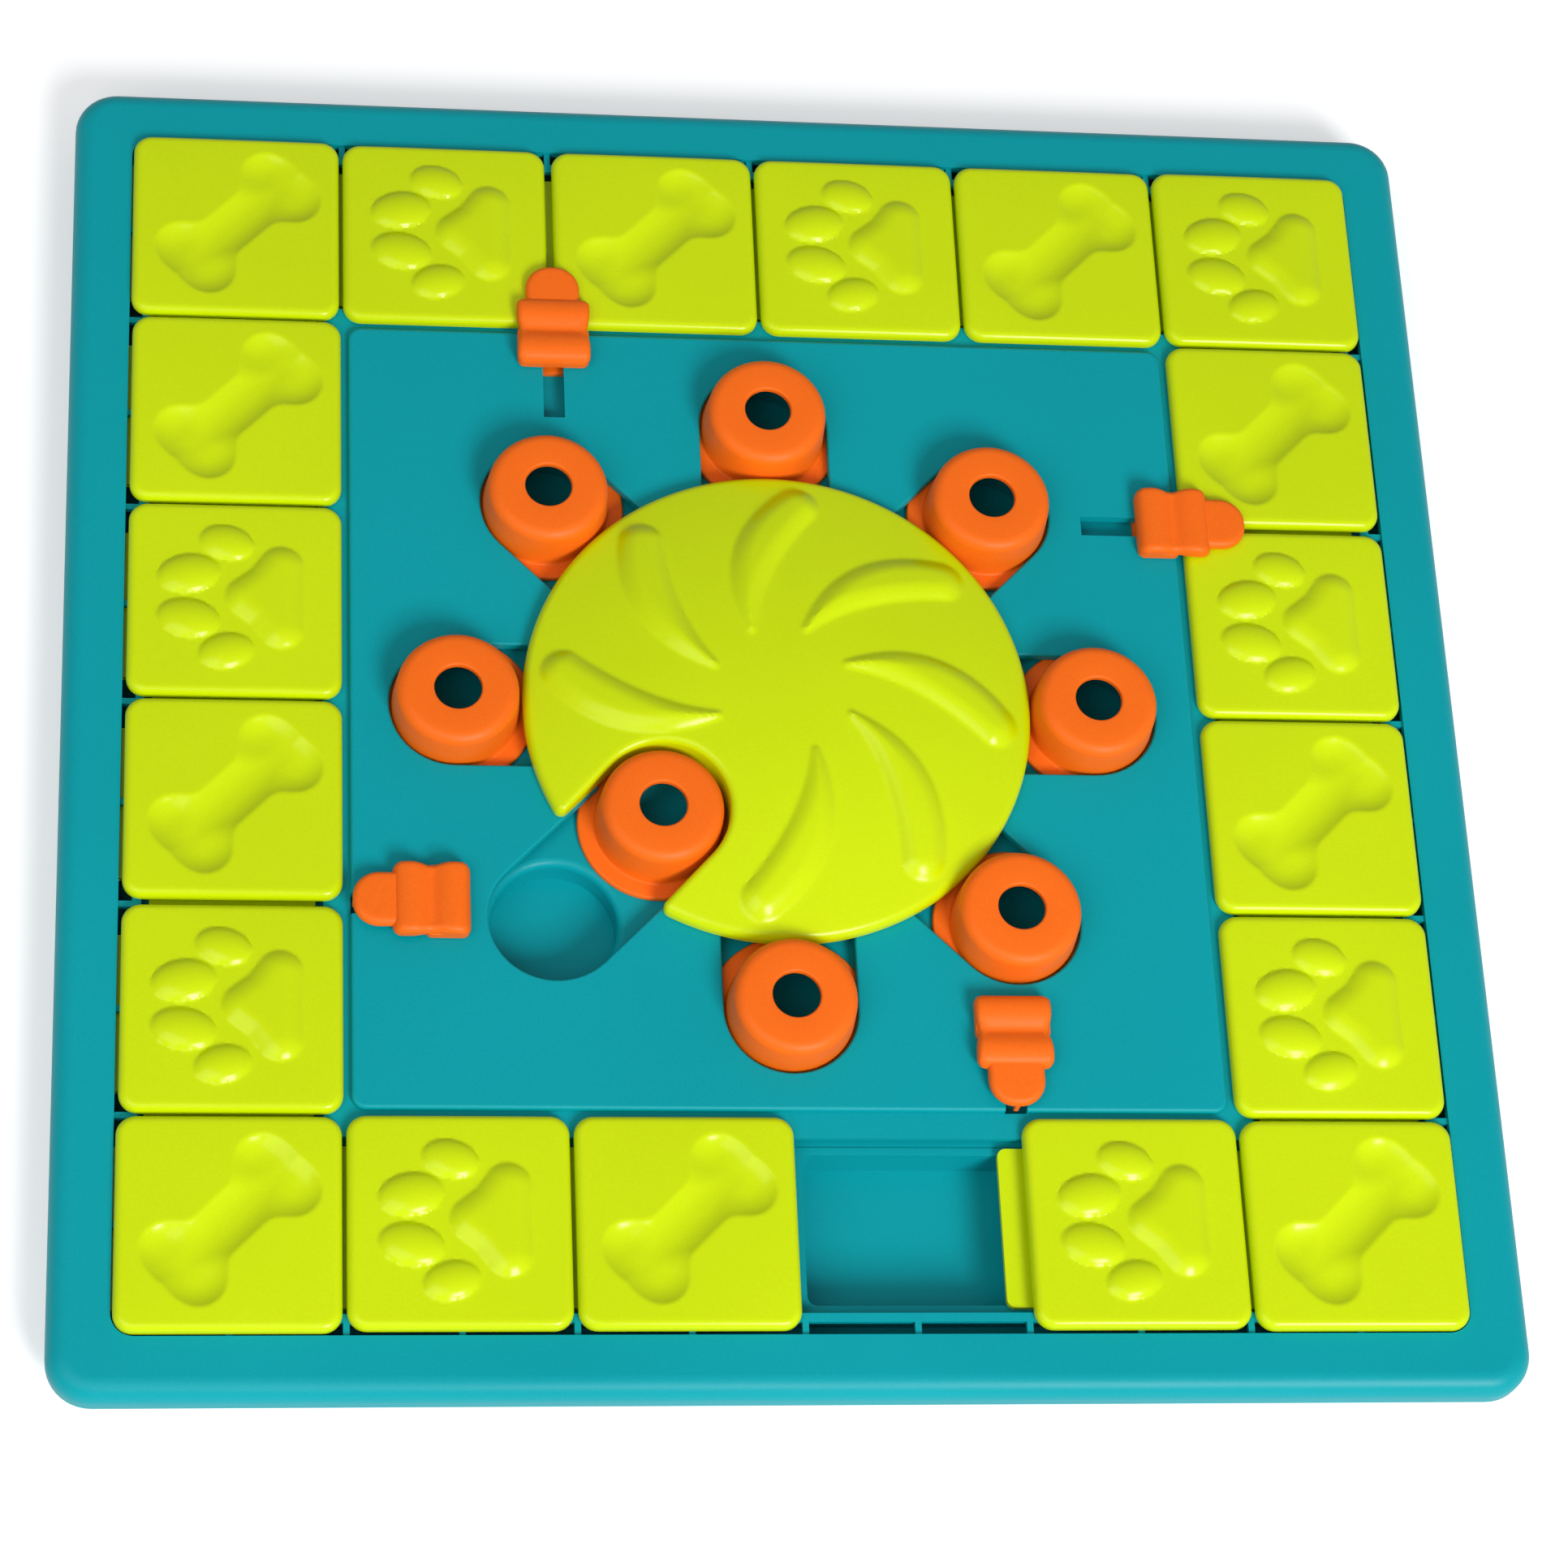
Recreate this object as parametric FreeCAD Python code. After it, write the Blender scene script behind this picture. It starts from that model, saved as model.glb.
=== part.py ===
"""Dog puzzle feeder toy: a square board with a ring of sliding tiles over treat cells,
eight sliding pegs over treat cups, a turning wheel with one notch, and four sliding latches.

Millimetres. +X to the right, +Y to the far side, +Z up. The origin is under the middle of
the board, at the level that its rubber feet stand on.
"""
import FreeCAD, Part
import math
import os

# Ring of tiles
PITCH = 64.0               # from one tile's centre to the next
TILES_PER_SIDE = 6
EMPTY_PLACE_COUNTS = (6, 4)  # row and column of the open cell, counted from the far left
CAP_SEAM = 1.2             # gap between the caps of two tiles
LATCH_SEAM = 1.0           # how much wider that gap is where a latch's fin goes in
CAP_CORNER_R = 5.5
CAP_EDGE_R = 2.2
CAP_HEIGHT = 4.1
CAP_TOP_WALL = 3.4
BONE_DEPTH = 2.0
BONE_EDGE_DEPTH = 0.7      # the shallow step all round the bone
BONE_EDGE_WIDTH = 0.7
BONE_HALF_LENGTH = 18.3    # from the middle to the knobs' centres, along the bone
BONE_KNOB_OFFSET = 6.7     # from the bone's middle line to the knobs' centres
BONE_KNOB_R = 6.2
BONE_NECK_WIDTH = 11.2
BONE_SHIFT = 0.6           # the bone's middle from the tile's middle, along X and Y
PAW_HEIGHT = 2.2
PAW_EDGE = 1.4
PAW_TOES = ((-2.5, 17.8, 8.2, 5.7, -14.0), (-13.6, 7.3, 9.3, 6.4, 10.0))
PAW_PAD = ((3.6, 0.0), (13.2, 10.0), (13.2, -10.0))
PAW_PAD_R = 6.6

# Runner under each cap
RUNNER_WALL = 2.2
RUNNER_HALF = 24.4
TONGUE_HALF_WIDTH = 23.7
TONGUE_REACH = 38.2        # from the tile's middle to the end of each tongue
TONGUE_CORNER_R = 2.5
PEDESTAL_HALF = 23.4
PEDESTAL_FIT = 0.5         # gap round the pedestal inside its cap
RUNNER_POCKET_HALF = 20.5
RUNNER_POCKET_ROOF = 1.7

# Base tray
FOOT_HEIGHT = 1.5
FOOT_R = 9.0
FOOT_INSET = 28.0          # from the tray's side to a foot's middle
TRAY_FLOOR = 2.5
CELL_DEPTH = 13.0
CELL_HALF_ACROSS = 22.4    # half a cell's width, across the row of tiles
CELL_HALF_ALONG = 30.4     # half a cell's length, along the row of tiles
CELL_CORNER_R = 3.0
CELL_WALL = 2.4
TRAY_WALL = 2.4
TRAY_CORNER_R = 6.0
SLIDE_GAP = 0.3            # height left free under and over a part that slides
SIDE_GAP = 0.7             # room left free past the end of a tongue

# Top frame
FRAME_WIDTH = 17.6
FRAME_INNER_GAP = 0.4      # from the ring's outer side to the frame's inner edge
FRAME_HEIGHT = 10.0
FRAME_ABOVE_RAIL = 1.0
FRAME_WALL = 2.6
FRAME_CORNER_R = 13.0
FRAME_INNER_CORNER_R = 6.5
FRAME_EDGE_R = 6.0
RAIL_WALL = 1.8
RAIL_WIDTH = 2.6
RAIL_CORNER_R = 4.0        # of the outer rail's outside
RAIL_HOLE_R = 2.0          # of the outer rail's inside
RAIL_INNER = 25.9          # from the row's middle line to a rail's inner edge
RIB_WIDTH = 1.8
LOCATING_WALL = 2.0
LOCATING_DEPTH = 4.7

# Centre cover
COVER_GAP = 1.6            # from the ring's inner side to the cover's edge
COVER_ABOVE_RAIL = 2.5
COVER_WALL = 3.1
COVER_SKIRT = 3.0
COVER_CORNER_R = 4.0
COVER_EDGE_R = 1.2
SLOT_EDGE_R = 0.8
COVER_HOLE_R = 60.0        # round hole under the wheel, where the slots meet
SCREW_CIRCLE_R = 112.0
SCREW_COUNT = 8
BOSS_R = 5.0
BOSS_FIT = 0.4
PILOT_R = 1.25
SCREW_SHANK_R = 1.2
SCREW_HEAD_R = 3.0
SCREW_HEAD_HEIGHT = 1.2
SCREW_LENGTH = 12.0
SCREW_HOLE_FIT = 0.4

# Pegs and the cups under them
PEG_COUNT = 8
SLOT_MARGIN = 11.4         # from the outer end of a peg's slot to the cover's edge
PEG_IN_R = 51.4            # from the wheel's axis to the peg in the wheel's notch
PEG_IN_ANGLE = 225.0
PEG_BASE_R = 19.0
PEG_TOP_R = 17.8
PEG_HEIGHT = 17.2
PEG_WALL = 2.2
PEG_HOLE_R = 7.0
PEG_EDGE_R = 2.5
FLANGE_R = 23.9
FLANGE_WALL = 2.0
FLANGE_GAP = 0.4
SLOT_FIT = 0.6             # gap between a peg and the sides of its slot
CUP_R = 18.4
CUP_DEPTH = 10.0
CUP_WALL = 2.0
CUP_EDGE_R = 2.5

# Peg deck
DECK_WALL = 2.5
DECK_CORNER_R = 3.0
DECK_STEP_GAP = 1.3        # from the ring's inner tongues to the deck's raised part
DECK_FLANGE_WALL = 2.0
DECK_SKIRT_WALL = 2.0
PART_GAP = 0.2             # gap between fixed mouldings that stand side by side

# Wheel
WHEEL_PEG_GAP = 0.4        # from the wheel's rim to a peg that is pushed out
WHEEL_RIM_HEIGHT = 4.1
WHEEL_RISE = 10.0          # how much higher the wheel's domed middle is than its rim
WHEEL_SHELL = 3.0
WHEEL_RIM_WIDTH = 5.0
WHEEL_GAP = 0.3            # height between the cover and the wheel
WHEEL_EDGE_R = 1.3
NOTCH_FIT = 0.85           # gap between the peg and the notch, past the slot's own
TIP_R = 1.5
VANE_ANGLES = (180.0, 135.0, 90.0, 45.0, 0.0, -45.0, -90.0)
VANE_HEIGHT = 2.6
VANE_EDGE_R = 1.0
VANE_OUTLINE = (
    ((19.6, 10.3), (48.8, 11.2), (70.8, -4.5)),
    ((70.8, -4.5), (70.4, -11.9), (64.0, -13.0)),
    ((64.0, -13.0), (43.2, 0.6), (19.2, 7.2)),
    ((19.2, 7.2), (18.1, 8.7), (19.6, 10.3)),
)
AXLE_R = 6.0
AXLE_FIT = 0.08
HUB_R = 11.0
HUB_DROP = 6.0             # how far the hub tube hangs below the deck
WASHER_R = 9.0
WASHER_WALL = 1.5
HUB_SCREW_LENGTH = 8.0

# Latches
LATCH_OFFSET = 64.0        # from the board's middle line to a latch's middle line
LATCH_TRAVEL = 21.5
LATCH_INNER = 92.2         # the grip's inner end, pulled in, from the wheel's axis
GRIP_LENGTH = 22.4
GRIP_HALF_WIDTH = 11.15
GRIP_HEIGHT = 4.6
GRIP_CORNER_R = 2.2
GRIP_EDGE_R = 1.3
GRIP_DIP = 2.0
GRIP_DIP_R = 8.0
SOLE_LENGTH = 13.3
LATCH_TONGUE_HALF = 8.25
LATCH_TONGUE_WALL = 2.9
LATCH_TONGUE_END_R = 6.5
LATCH_TIP_GAP = 0.4        # from the latch's tip to the cover's edge, pulled in
STEM_INSET = 5.3
STEM_LENGTH = 7.0
STEM_HALF_WIDTH = 3.0
STEM_FIT = 0.2
KEEPER_HALF_WIDTH = 7.0
KEEPER_WALL = 2.0
FIN_HALF_WIDTH = 0.75
FIN_LENGTH = 13.8
FIN_DEPTH = 3.9

# Heights, from the feet up
TRAY_LOW = FOOT_HEIGHT
CELL_FLOOR = TRAY_LOW + TRAY_FLOOR
LEDGE = CELL_FLOOR + CELL_DEPTH
RUNNER_LOW = LEDGE + SLIDE_GAP
TONGUE_TOP = RUNNER_LOW + RUNNER_WALL
RAIL_LOW = TONGUE_TOP + SLIDE_GAP
RAIL_TOP = RAIL_LOW + RAIL_WALL
CAP_LOW = RAIL_TOP + SLIDE_GAP
CAP_TOP = CAP_LOW + CAP_HEIGHT
FRAME_TOP = RAIL_TOP + FRAME_ABOVE_RAIL
FRAME_LOW = FRAME_TOP - FRAME_HEIGHT
COVER_TOP = RAIL_TOP + COVER_ABOVE_RAIL
COVER_LOW = COVER_TOP - COVER_WALL
DECK_TOP = COVER_LOW - FLANGE_GAP - FLANGE_WALL
WHEEL_LOW = COVER_TOP + WHEEL_GAP
WHEEL_RIM = WHEEL_LOW + WHEEL_RIM_HEIGHT
WHEEL_TOP = WHEEL_RIM + WHEEL_RISE
PEG_TOP = DECK_TOP + PEG_HEIGHT
LATCH_SOLE = COVER_TOP + SLIDE_GAP
LATCH_LOW = CAP_TOP + SLIDE_GAP

# Half widths of the square outlines, from the board's middle
RING_OUTER = PITCH * TILES_PER_SIDE / 2
RING_INNER = RING_OUTER - PITCH
ROW_LINE = RING_OUTER - PITCH / 2
FRAME_INNER = RING_OUTER + FRAME_INNER_GAP
FRAME_OUTER = FRAME_INNER + FRAME_WIDTH
COVER_HALF = RING_INNER - COVER_GAP
TILE_SHIFT = LATCH_SEAM / 2
TRAY_INNER = ROW_LINE + TILE_SHIFT + TONGUE_REACH + SIDE_GAP
TRAY_HALF = TRAY_INNER + TRAY_WALL
CELL_BLOCK_OUTER = ROW_LINE + CELL_HALF_ACROSS + CELL_WALL
CELL_BLOCK_INNER = ROW_LINE - CELL_HALF_ACROSS - CELL_WALL
DECK_FLANGE_HALF = CELL_BLOCK_INNER - PART_GAP
DECK_HALF = ROW_LINE - TILE_SHIFT - TONGUE_REACH - DECK_STEP_GAP
CAP_HALF = (PITCH - CAP_SEAM) / 2

# Pegs inside the cover, and the wheel inside the pegs
SLOT_HALF = PEG_BASE_R + SLOT_FIT
PEG_CIRCLE_R = COVER_HALF - SLOT_MARGIN - SLOT_HALF
WHEEL_R = PEG_CIRCLE_R - PEG_BASE_R - WHEEL_PEG_GAP
WHEEL_BALL_R = (WHEEL_R ** 2 + WHEEL_RISE ** 2) / (2 * WHEEL_RISE)
NOTCH_HALF = PEG_BASE_R + NOTCH_FIT


def block(x0, y0, z0, x1, y1, z1):
    return Part.makeBox(x1 - x0, y1 - y0, z1 - z0, FreeCAD.Vector(x0, y0, z0))


def rod(radius, z0, z1, x=0.0, y=0.0):
    return Part.makeCylinder(radius, z1 - z0, FreeCAD.Vector(x, y, z0))


def cone(radius_low, radius_high, z0, z1):
    return Part.makeCone(radius_low, radius_high, z1 - z0, FreeCAD.Vector(0, 0, z0))


def rounded_block(half_x, half_y, radius, z0, z1, x=0.0, y=0.0):
    """A box about (x, y) whose four upright edges are rounded."""
    sides = block(x - half_x, y - half_y, z0, x + half_x, y + half_y, z1)
    upright = [e for e in sides.Edges if abs(e.Vertexes[0].Z - e.Vertexes[-1].Z) > (z1 - z0) / 2]
    return sides.makeFillet(radius, upright)


def square(half, radius, z0, z1):
    return rounded_block(half, half, radius, z0, z1)


def square_ring(outer, inner, outer_radius, inner_radius, z0, z1):
    return square(outer, outer_radius, z0, z1).cut(square(inner, inner_radius, z0, z1))


def stadium(half_width, start, end, z0, z1):
    """A slot-shaped prism along +X, round at both ends, from centre to centre."""
    body = block(start, -half_width, z0, end, half_width, z1)
    return body.fuse([rod(half_width, z0, z1, start), rod(half_width, z0, z1, end)]).removeSplitter()


def joined(shapes):
    return shapes[0].fuse(shapes[1:]).removeSplitter()


def turned(shape, degrees):
    copy = shape.copy()
    copy.rotate(FreeCAD.Vector(0, 0, 0), FreeCAD.Vector(0, 0, 1), degrees)
    return copy


def moved(shape, x, y, z=0.0):
    copy = shape.copy()
    copy.translate(FreeCAD.Vector(x, y, z))
    return copy


def polar(radius, degrees):
    angle = math.radians(degrees)
    return radius * math.cos(angle), radius * math.sin(angle)


def edges_at(shape, z, keep=lambda edge: True):
    """The edges that lie flat at one height."""
    return [
        edge
        for edge in shape.Edges
        if abs(edge.BoundBox.ZMin - z) < 1e-4 and abs(edge.BoundBox.ZMax - z) < 1e-4 and keep(edge)
    ]


def prism(edges, z0, z1):
    """A solid from flat edges at height z0 that close into one outline."""
    return Part.Face(Part.Wire(edges)).extrude(FreeCAD.Vector(0, 0, z1 - z0))


def screw_places():
    step = 360.0 / SCREW_COUNT
    return [polar(SCREW_CIRCLE_R, step * (i + 0.5)) for i in range(SCREW_COUNT)]


def ring_places():
    """Row, column, middle and travel direction of every place in the ring."""
    first = 1
    last = TILES_PER_SIDE
    places = []
    for row in range(first, last + 1):
        for column in range(first, last + 1):
            if row in (first, last) or column in (first, last):
                x = (column - (first + last) / 2) * PITCH
                y = ((first + last) / 2 - row) * PITCH
                places.append((row, column, x, y))
    return places


def tile_places():
    """Every tile's row, column and rest position, parted a little where a latch goes in."""
    last = TILES_PER_SIDE
    places = []
    for row, column, x, y in ring_places():
        if (row, column) == EMPTY_PLACE_COUNTS:
            continue
        dx = 0.0
        dy = 0.0
        if row in (1, last):
            seam_x = -LATCH_OFFSET if row == 1 else LATCH_OFFSET
            dx = math.copysign(TILE_SHIFT, x - seam_x)
        if column in (1, last):
            seam_y = -LATCH_OFFSET if column == 1 else LATCH_OFFSET
            dy = math.copysign(TILE_SHIFT, y - seam_y)
        places.append((row, column, x + dx, y + dy))
    return places


def has_bone(row, column):
    """Bones and paws alternate along each side; both ends of the bottom row are bones."""
    last = TILES_PER_SIDE
    if row == 1:
        return column % 2 == 1
    if row == last:
        return column in (1, 3, last)
    return row % 2 == 0


def base_tray():
    floor = square(TRAY_HALF, TRAY_CORNER_R, TRAY_LOW, CELL_FLOOR)
    wall = square_ring(TRAY_HALF, TRAY_INNER, TRAY_CORNER_R, TRAY_CORNER_R - TRAY_WALL, CELL_FLOOR, RAIL_LOW)
    cells = square_ring(CELL_BLOCK_OUTER, CELL_BLOCK_INNER, CELL_CORNER_R + CELL_WALL, 1.0, CELL_FLOOR, LEDGE)
    pockets = []
    for row, column, x, y in ring_places():
        across_x = CELL_HALF_ACROSS if column in (1, TILES_PER_SIDE) else CELL_HALF_ALONG
        across_y = CELL_HALF_ACROSS if row in (1, TILES_PER_SIDE) else CELL_HALF_ALONG
        pockets.append(rounded_block(across_x, across_y, CELL_CORNER_R, CELL_FLOOR, LEDGE, x, y))
    tray = joined([floor, wall, cells.cut(pockets)])
    holes = []
    for x, y in screw_places():
        holes.append(rod(SCREW_SHANK_R + SCREW_HOLE_FIT, TRAY_LOW, CELL_FLOOR, x, y))
        holes.append(rod(SCREW_HEAD_R + SCREW_HOLE_FIT, TRAY_LOW, TRAY_LOW + SCREW_HEAD_HEIGHT, x, y))
    return tray.cut(holes)


def feet():
    place = TRAY_HALF - FOOT_INSET
    pads = []
    for x in (-place, 0.0, place):
        for y in (-place, 0.0, place):
            if x or y:
                pads.append(rod(FOOT_R, 0.0, FOOT_HEIGHT, x, y))
    return Part.makeCompound(pads)


def peg_deck():
    plate = square(DECK_HALF, DECK_CORNER_R, DECK_TOP - DECK_WALL, DECK_TOP)
    flange = square(DECK_FLANGE_HALF, 1.0, LEDGE - DECK_FLANGE_WALL, LEDGE)
    flange = flange.cut(square(DECK_HALF - DECK_WALL, 1.0, LEDGE - DECK_FLANGE_WALL, LEDGE))
    skirt = square_ring(
        DECK_FLANGE_HALF, DECK_FLANGE_HALF - DECK_SKIRT_WALL, 1.0, 1.0, CELL_FLOOR, LEDGE - DECK_FLANGE_WALL
    )
    parts = [plate, flange, skirt]
    cuts = []
    cup_floor = DECK_TOP - CUP_DEPTH
    for i in range(PEG_COUNT):
        x, y = polar(PEG_CIRCLE_R, 360.0 / PEG_COUNT * i)
        parts.append(rod(CUP_R + CUP_WALL, cup_floor - CUP_WALL, DECK_TOP, x, y))
        cuts.append(rod(CUP_R, cup_floor, DECK_TOP, x, y))
    hub_low = DECK_TOP - DECK_WALL - HUB_DROP
    parts.append(rod(HUB_R, hub_low, WHEEL_LOW))
    cuts.append(rod(AXLE_R + AXLE_FIT, hub_low, WHEEL_LOW))
    for x, y in screw_places():
        cuts.append(rod(BOSS_R + BOSS_FIT, DECK_TOP - DECK_WALL, DECK_TOP, x, y))
    deck = joined(parts).cut(cuts)
    rims = edges_at(deck, DECK_TOP, lambda e: abs(getattr(e.Curve, "Radius", 0.0) - CUP_R) < 1e-4)
    return deck.makeFillet(CUP_EDGE_R, rims)


def centre_cover():
    plate = square(COVER_HALF, COVER_CORNER_R, COVER_LOW, COVER_TOP)
    plate = plate.makeFillet(COVER_EDGE_R, edges_at(plate, COVER_TOP))
    inner = COVER_HALF - COVER_SKIRT
    skirt = square_ring(COVER_HALF, inner, COVER_CORNER_R, 1.0, RAIL_LOW, COVER_LOW)
    shelf_edge = ROW_LINE - RAIL_INNER
    shelf = square_ring(shelf_edge, inner, COVER_CORNER_R, 1.0, RAIL_LOW, min(RAIL_TOP, COVER_LOW))
    lip = square_ring(shelf_edge, COVER_HALF - COVER_EDGE_R, COVER_CORNER_R, 1.0, RAIL_LOW, RAIL_TOP)
    bosses = [rod(BOSS_R, CELL_FLOOR, COVER_LOW, x, y) for x, y in screw_places()]
    cover = joined([plate, skirt, shelf, lip] + bosses)
    cuts = []
    for i in range(PEG_COUNT):
        slot = stadium(SLOT_HALF, PEG_IN_R, PEG_CIRCLE_R, COVER_LOW, COVER_TOP)
        cuts.append(turned(slot, 360.0 / PEG_COUNT * i))
    cuts.append(rod(COVER_HOLE_R, COVER_LOW, COVER_TOP))
    pilot_top = CELL_FLOOR + SCREW_LENGTH
    cuts += [rod(PILOT_R, CELL_FLOOR, pilot_top, x, y) for x, y in screw_places()]
    stem_start = LATCH_INNER + STEM_INSET - STEM_FIT * 3
    keeper_end = LATCH_INNER + STEM_INSET + STEM_LENGTH + LATCH_TRAVEL + STEM_FIT
    side = STEM_HALF_WIDTH + STEM_FIT
    keeper_side = KEEPER_HALF_WIDTH + SLIDE_GAP
    for i in range(4):
        slot = block(stem_start, LATCH_OFFSET - side, COVER_LOW, COVER_HALF, LATCH_OFFSET + side, COVER_TOP)
        room = block(
            inner - 1.0, LATCH_OFFSET - keeper_side, RAIL_LOW,
            keeper_end, LATCH_OFFSET + keeper_side, COVER_LOW,
        )
        cuts += [turned(slot, 90.0 * i), turned(room, 90.0 * i)]
    cover = cover.cut(cuts)
    reach = PEG_CIRCLE_R + SLOT_HALF + 0.1
    rims = edges_at(cover, COVER_TOP, lambda e: all(math.hypot(v.X, v.Y) < reach for v in e.Vertexes))
    return cover.makeFillet(SLOT_EDGE_R, rims)


def top_frame():
    shell = square(FRAME_OUTER, FRAME_CORNER_R, FRAME_LOW, FRAME_TOP)
    shell = shell.makeFillet(FRAME_EDGE_R, edges_at(shell, FRAME_TOP))
    hollow_half = FRAME_OUTER - FRAME_WALL
    hollow = square(hollow_half, FRAME_CORNER_R - FRAME_WALL, FRAME_LOW, RAIL_LOW)
    hollow = hollow.makeFillet(FRAME_EDGE_R - FRAME_WALL, edges_at(hollow, RAIL_LOW))
    opening = square(FRAME_INNER, FRAME_INNER_CORNER_R, FRAME_LOW, FRAME_TOP)
    shell = shell.cut([hollow, opening])
    rail_inner = ROW_LINE + RAIL_INNER
    rail = square_ring(rail_inner + RAIL_WIDTH, rail_inner, RAIL_CORNER_R, RAIL_HOLE_R, RAIL_LOW, RAIL_TOP)
    parts = [shell, rail]
    for i in range(TILES_PER_SIDE * 2 - 1):
        along = (i + 1) * PITCH / 2 - RING_OUTER
        rib = block(
            rail_inner + 1.0, along - RIB_WIDTH / 2, RAIL_LOW,
            FRAME_INNER + 1.0, along + RIB_WIDTH / 2, RAIL_TOP,
        )
        parts += [turned(rib, 90.0 * side) for side in range(4)]
    locating = TRAY_HALF + PART_GAP
    locating_corner = TRAY_CORNER_R + PART_GAP
    parts.append(square_ring(
        locating + LOCATING_WALL, locating, locating_corner + LOCATING_WALL, locating_corner,
        RAIL_LOW - LOCATING_DEPTH, RAIL_LOW
    ))
    return joined(parts)


def cover_screws():
    screws = []
    for x, y in screw_places():
        head = rod(SCREW_HEAD_R, TRAY_LOW, TRAY_LOW + SCREW_HEAD_HEIGHT, x, y)
        shank = rod(SCREW_SHANK_R, TRAY_LOW + SCREW_HEAD_HEIGHT, CELL_FLOOR + SCREW_LENGTH - 1.0, x, y)
        screws.append(joined([head, shank]))
    return Part.makeCompound(screws)


def wheel_ball(offset):
    """The ball that the wheel's domed top is a part of, made larger by an offset."""
    return Part.makeSphere(WHEEL_BALL_R + offset, FreeCAD.Vector(0, 0, WHEEL_TOP - WHEEL_BALL_R))


def vane():
    """One raised finger vane of the wheel, for the place on +X."""
    sides = []
    for arc in VANE_OUTLINE:
        start, middle, end = [FreeCAD.Vector(x, y, WHEEL_LOW + 1.0) for x, y in arc]
        sides.append(Part.Arc(start, middle, end).toShape())
    ridge = prism(sides, WHEEL_LOW + 1.0, WHEEL_TOP + VANE_HEIGHT * 2).common(wheel_ball(VANE_HEIGHT))
    rims = [e for e in ridge.Edges if e.BoundBox.ZMin > WHEEL_RIM - 1.0 and len(e.Vertexes) == 2]
    rims = [e for e in rims if e.BoundBox.ZLength < WHEEL_RISE + 1.0 and e.Curve.TypeId != "Part::GeomLine"]
    return ridge.makeFillet(VANE_EDGE_R, rims).cut(wheel_ball(-1.0))


def wheel():
    disc = rod(WHEEL_R, WHEEL_LOW, WHEEL_TOP + 1.0)
    notch = turned(stadium(NOTCH_HALF, PEG_IN_R, WHEEL_R * 1.5, WHEEL_LOW, WHEEL_TOP + 1.0), PEG_IN_ANGLE)
    disc = disc.cut(notch)
    tips = []
    for edge in disc.Edges:
        start = edge.Vertexes[0].Point
        if edge.BoundBox.ZLength > 5.0 and start.x < -1.0 and start.y < -1.0:
            if abs(math.hypot(start.x, start.y) - WHEEL_R) < 0.01:
                tips.append(edge)
    disc = disc.makeFillet(TIP_R, tips).common(wheel_ball(0.0))
    top = max(disc.Faces, key=lambda face: face.CenterOfMass.z)
    disc = disc.makeFillet(WHEEL_EDGE_R, top.OuterWire.Edges)
    hollow = rod(WHEEL_R - WHEEL_RIM_WIDTH, WHEEL_LOW, WHEEL_TOP).common(wheel_ball(-WHEEL_SHELL))
    notch_side = stadium(NOTCH_HALF + WHEEL_SHELL, PEG_IN_R, WHEEL_R * 1.5, WHEEL_LOW, WHEEL_TOP)
    hollow = hollow.cut([turned(notch_side, PEG_IN_ANGLE), rod(HUB_R, WHEEL_LOW, WHEEL_TOP)])
    low = DECK_TOP - DECK_WALL - HUB_DROP - SLIDE_GAP
    axle = rod(AXLE_R, low, WHEEL_LOW)
    vanes = [turned(vane(), angle) for angle in VANE_ANGLES]
    pilot = rod(PILOT_R, low, low + HUB_SCREW_LENGTH + 1.0)
    return joined([disc.cut(hollow), axle] + vanes).cut(pilot)


def hub_washer():
    top = DECK_TOP - DECK_WALL - HUB_DROP - SLIDE_GAP
    disc = rod(WASHER_R, top - WASHER_WALL, top)
    return disc.cut(rod(SCREW_SHANK_R + SCREW_HOLE_FIT, top - WASHER_WALL, top))


def hub_screw():
    top = DECK_TOP - DECK_WALL - HUB_DROP - SLIDE_GAP - WASHER_WALL
    head = rod(SCREW_HEAD_R, top - SCREW_HEAD_HEIGHT, top)
    return joined([head, rod(SCREW_SHANK_R, top, top + HUB_SCREW_LENGTH)])


def peg():
    """A hollow peg on its wide flange, about the origin."""
    top = PEG_TOP
    flange_top = DECK_TOP + FLANGE_WALL
    post = cone(PEG_BASE_R, PEG_TOP_R, flange_top, top)
    post = post.makeFillet(PEG_EDGE_R, edges_at(post, top))
    body = joined([rod(FLANGE_R, DECK_TOP, flange_top), post])
    inside_low = PEG_BASE_R - PEG_WALL
    inside_high = PEG_TOP_R - PEG_WALL
    inside = cone(inside_low, inside_high, DECK_TOP, top - PEG_WALL)
    return body.cut([inside, rod(PEG_HOLE_R, DECK_TOP, top)])


def bone(grown, z0, z1):
    """A bone along the diagonal from the near left to the far right."""
    neck_half = BONE_NECK_WIDTH / 2 + grown
    neck = block(-BONE_HALF_LENGTH, -neck_half, z0, BONE_HALF_LENGTH, neck_half, z1)
    knobs = []
    for x in (-BONE_HALF_LENGTH, BONE_HALF_LENGTH):
        for y in (-BONE_KNOB_OFFSET, BONE_KNOB_OFFSET):
            knobs.append(rod(BONE_KNOB_R + grown, z0, z1, x, y))
    return moved(turned(joined([neck] + knobs), 45.0), BONE_SHIFT, BONE_SHIFT)


def raised(outline):
    """A low raised shape on the cap's top, its edge chamfered."""
    low = CAP_TOP - 0.5
    high = CAP_TOP + PAW_HEIGHT
    body = outline.extrude(FreeCAD.Vector(0, 0, high - low))
    return body.makeChamfer(PAW_EDGE, edges_at(body, high))


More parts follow.
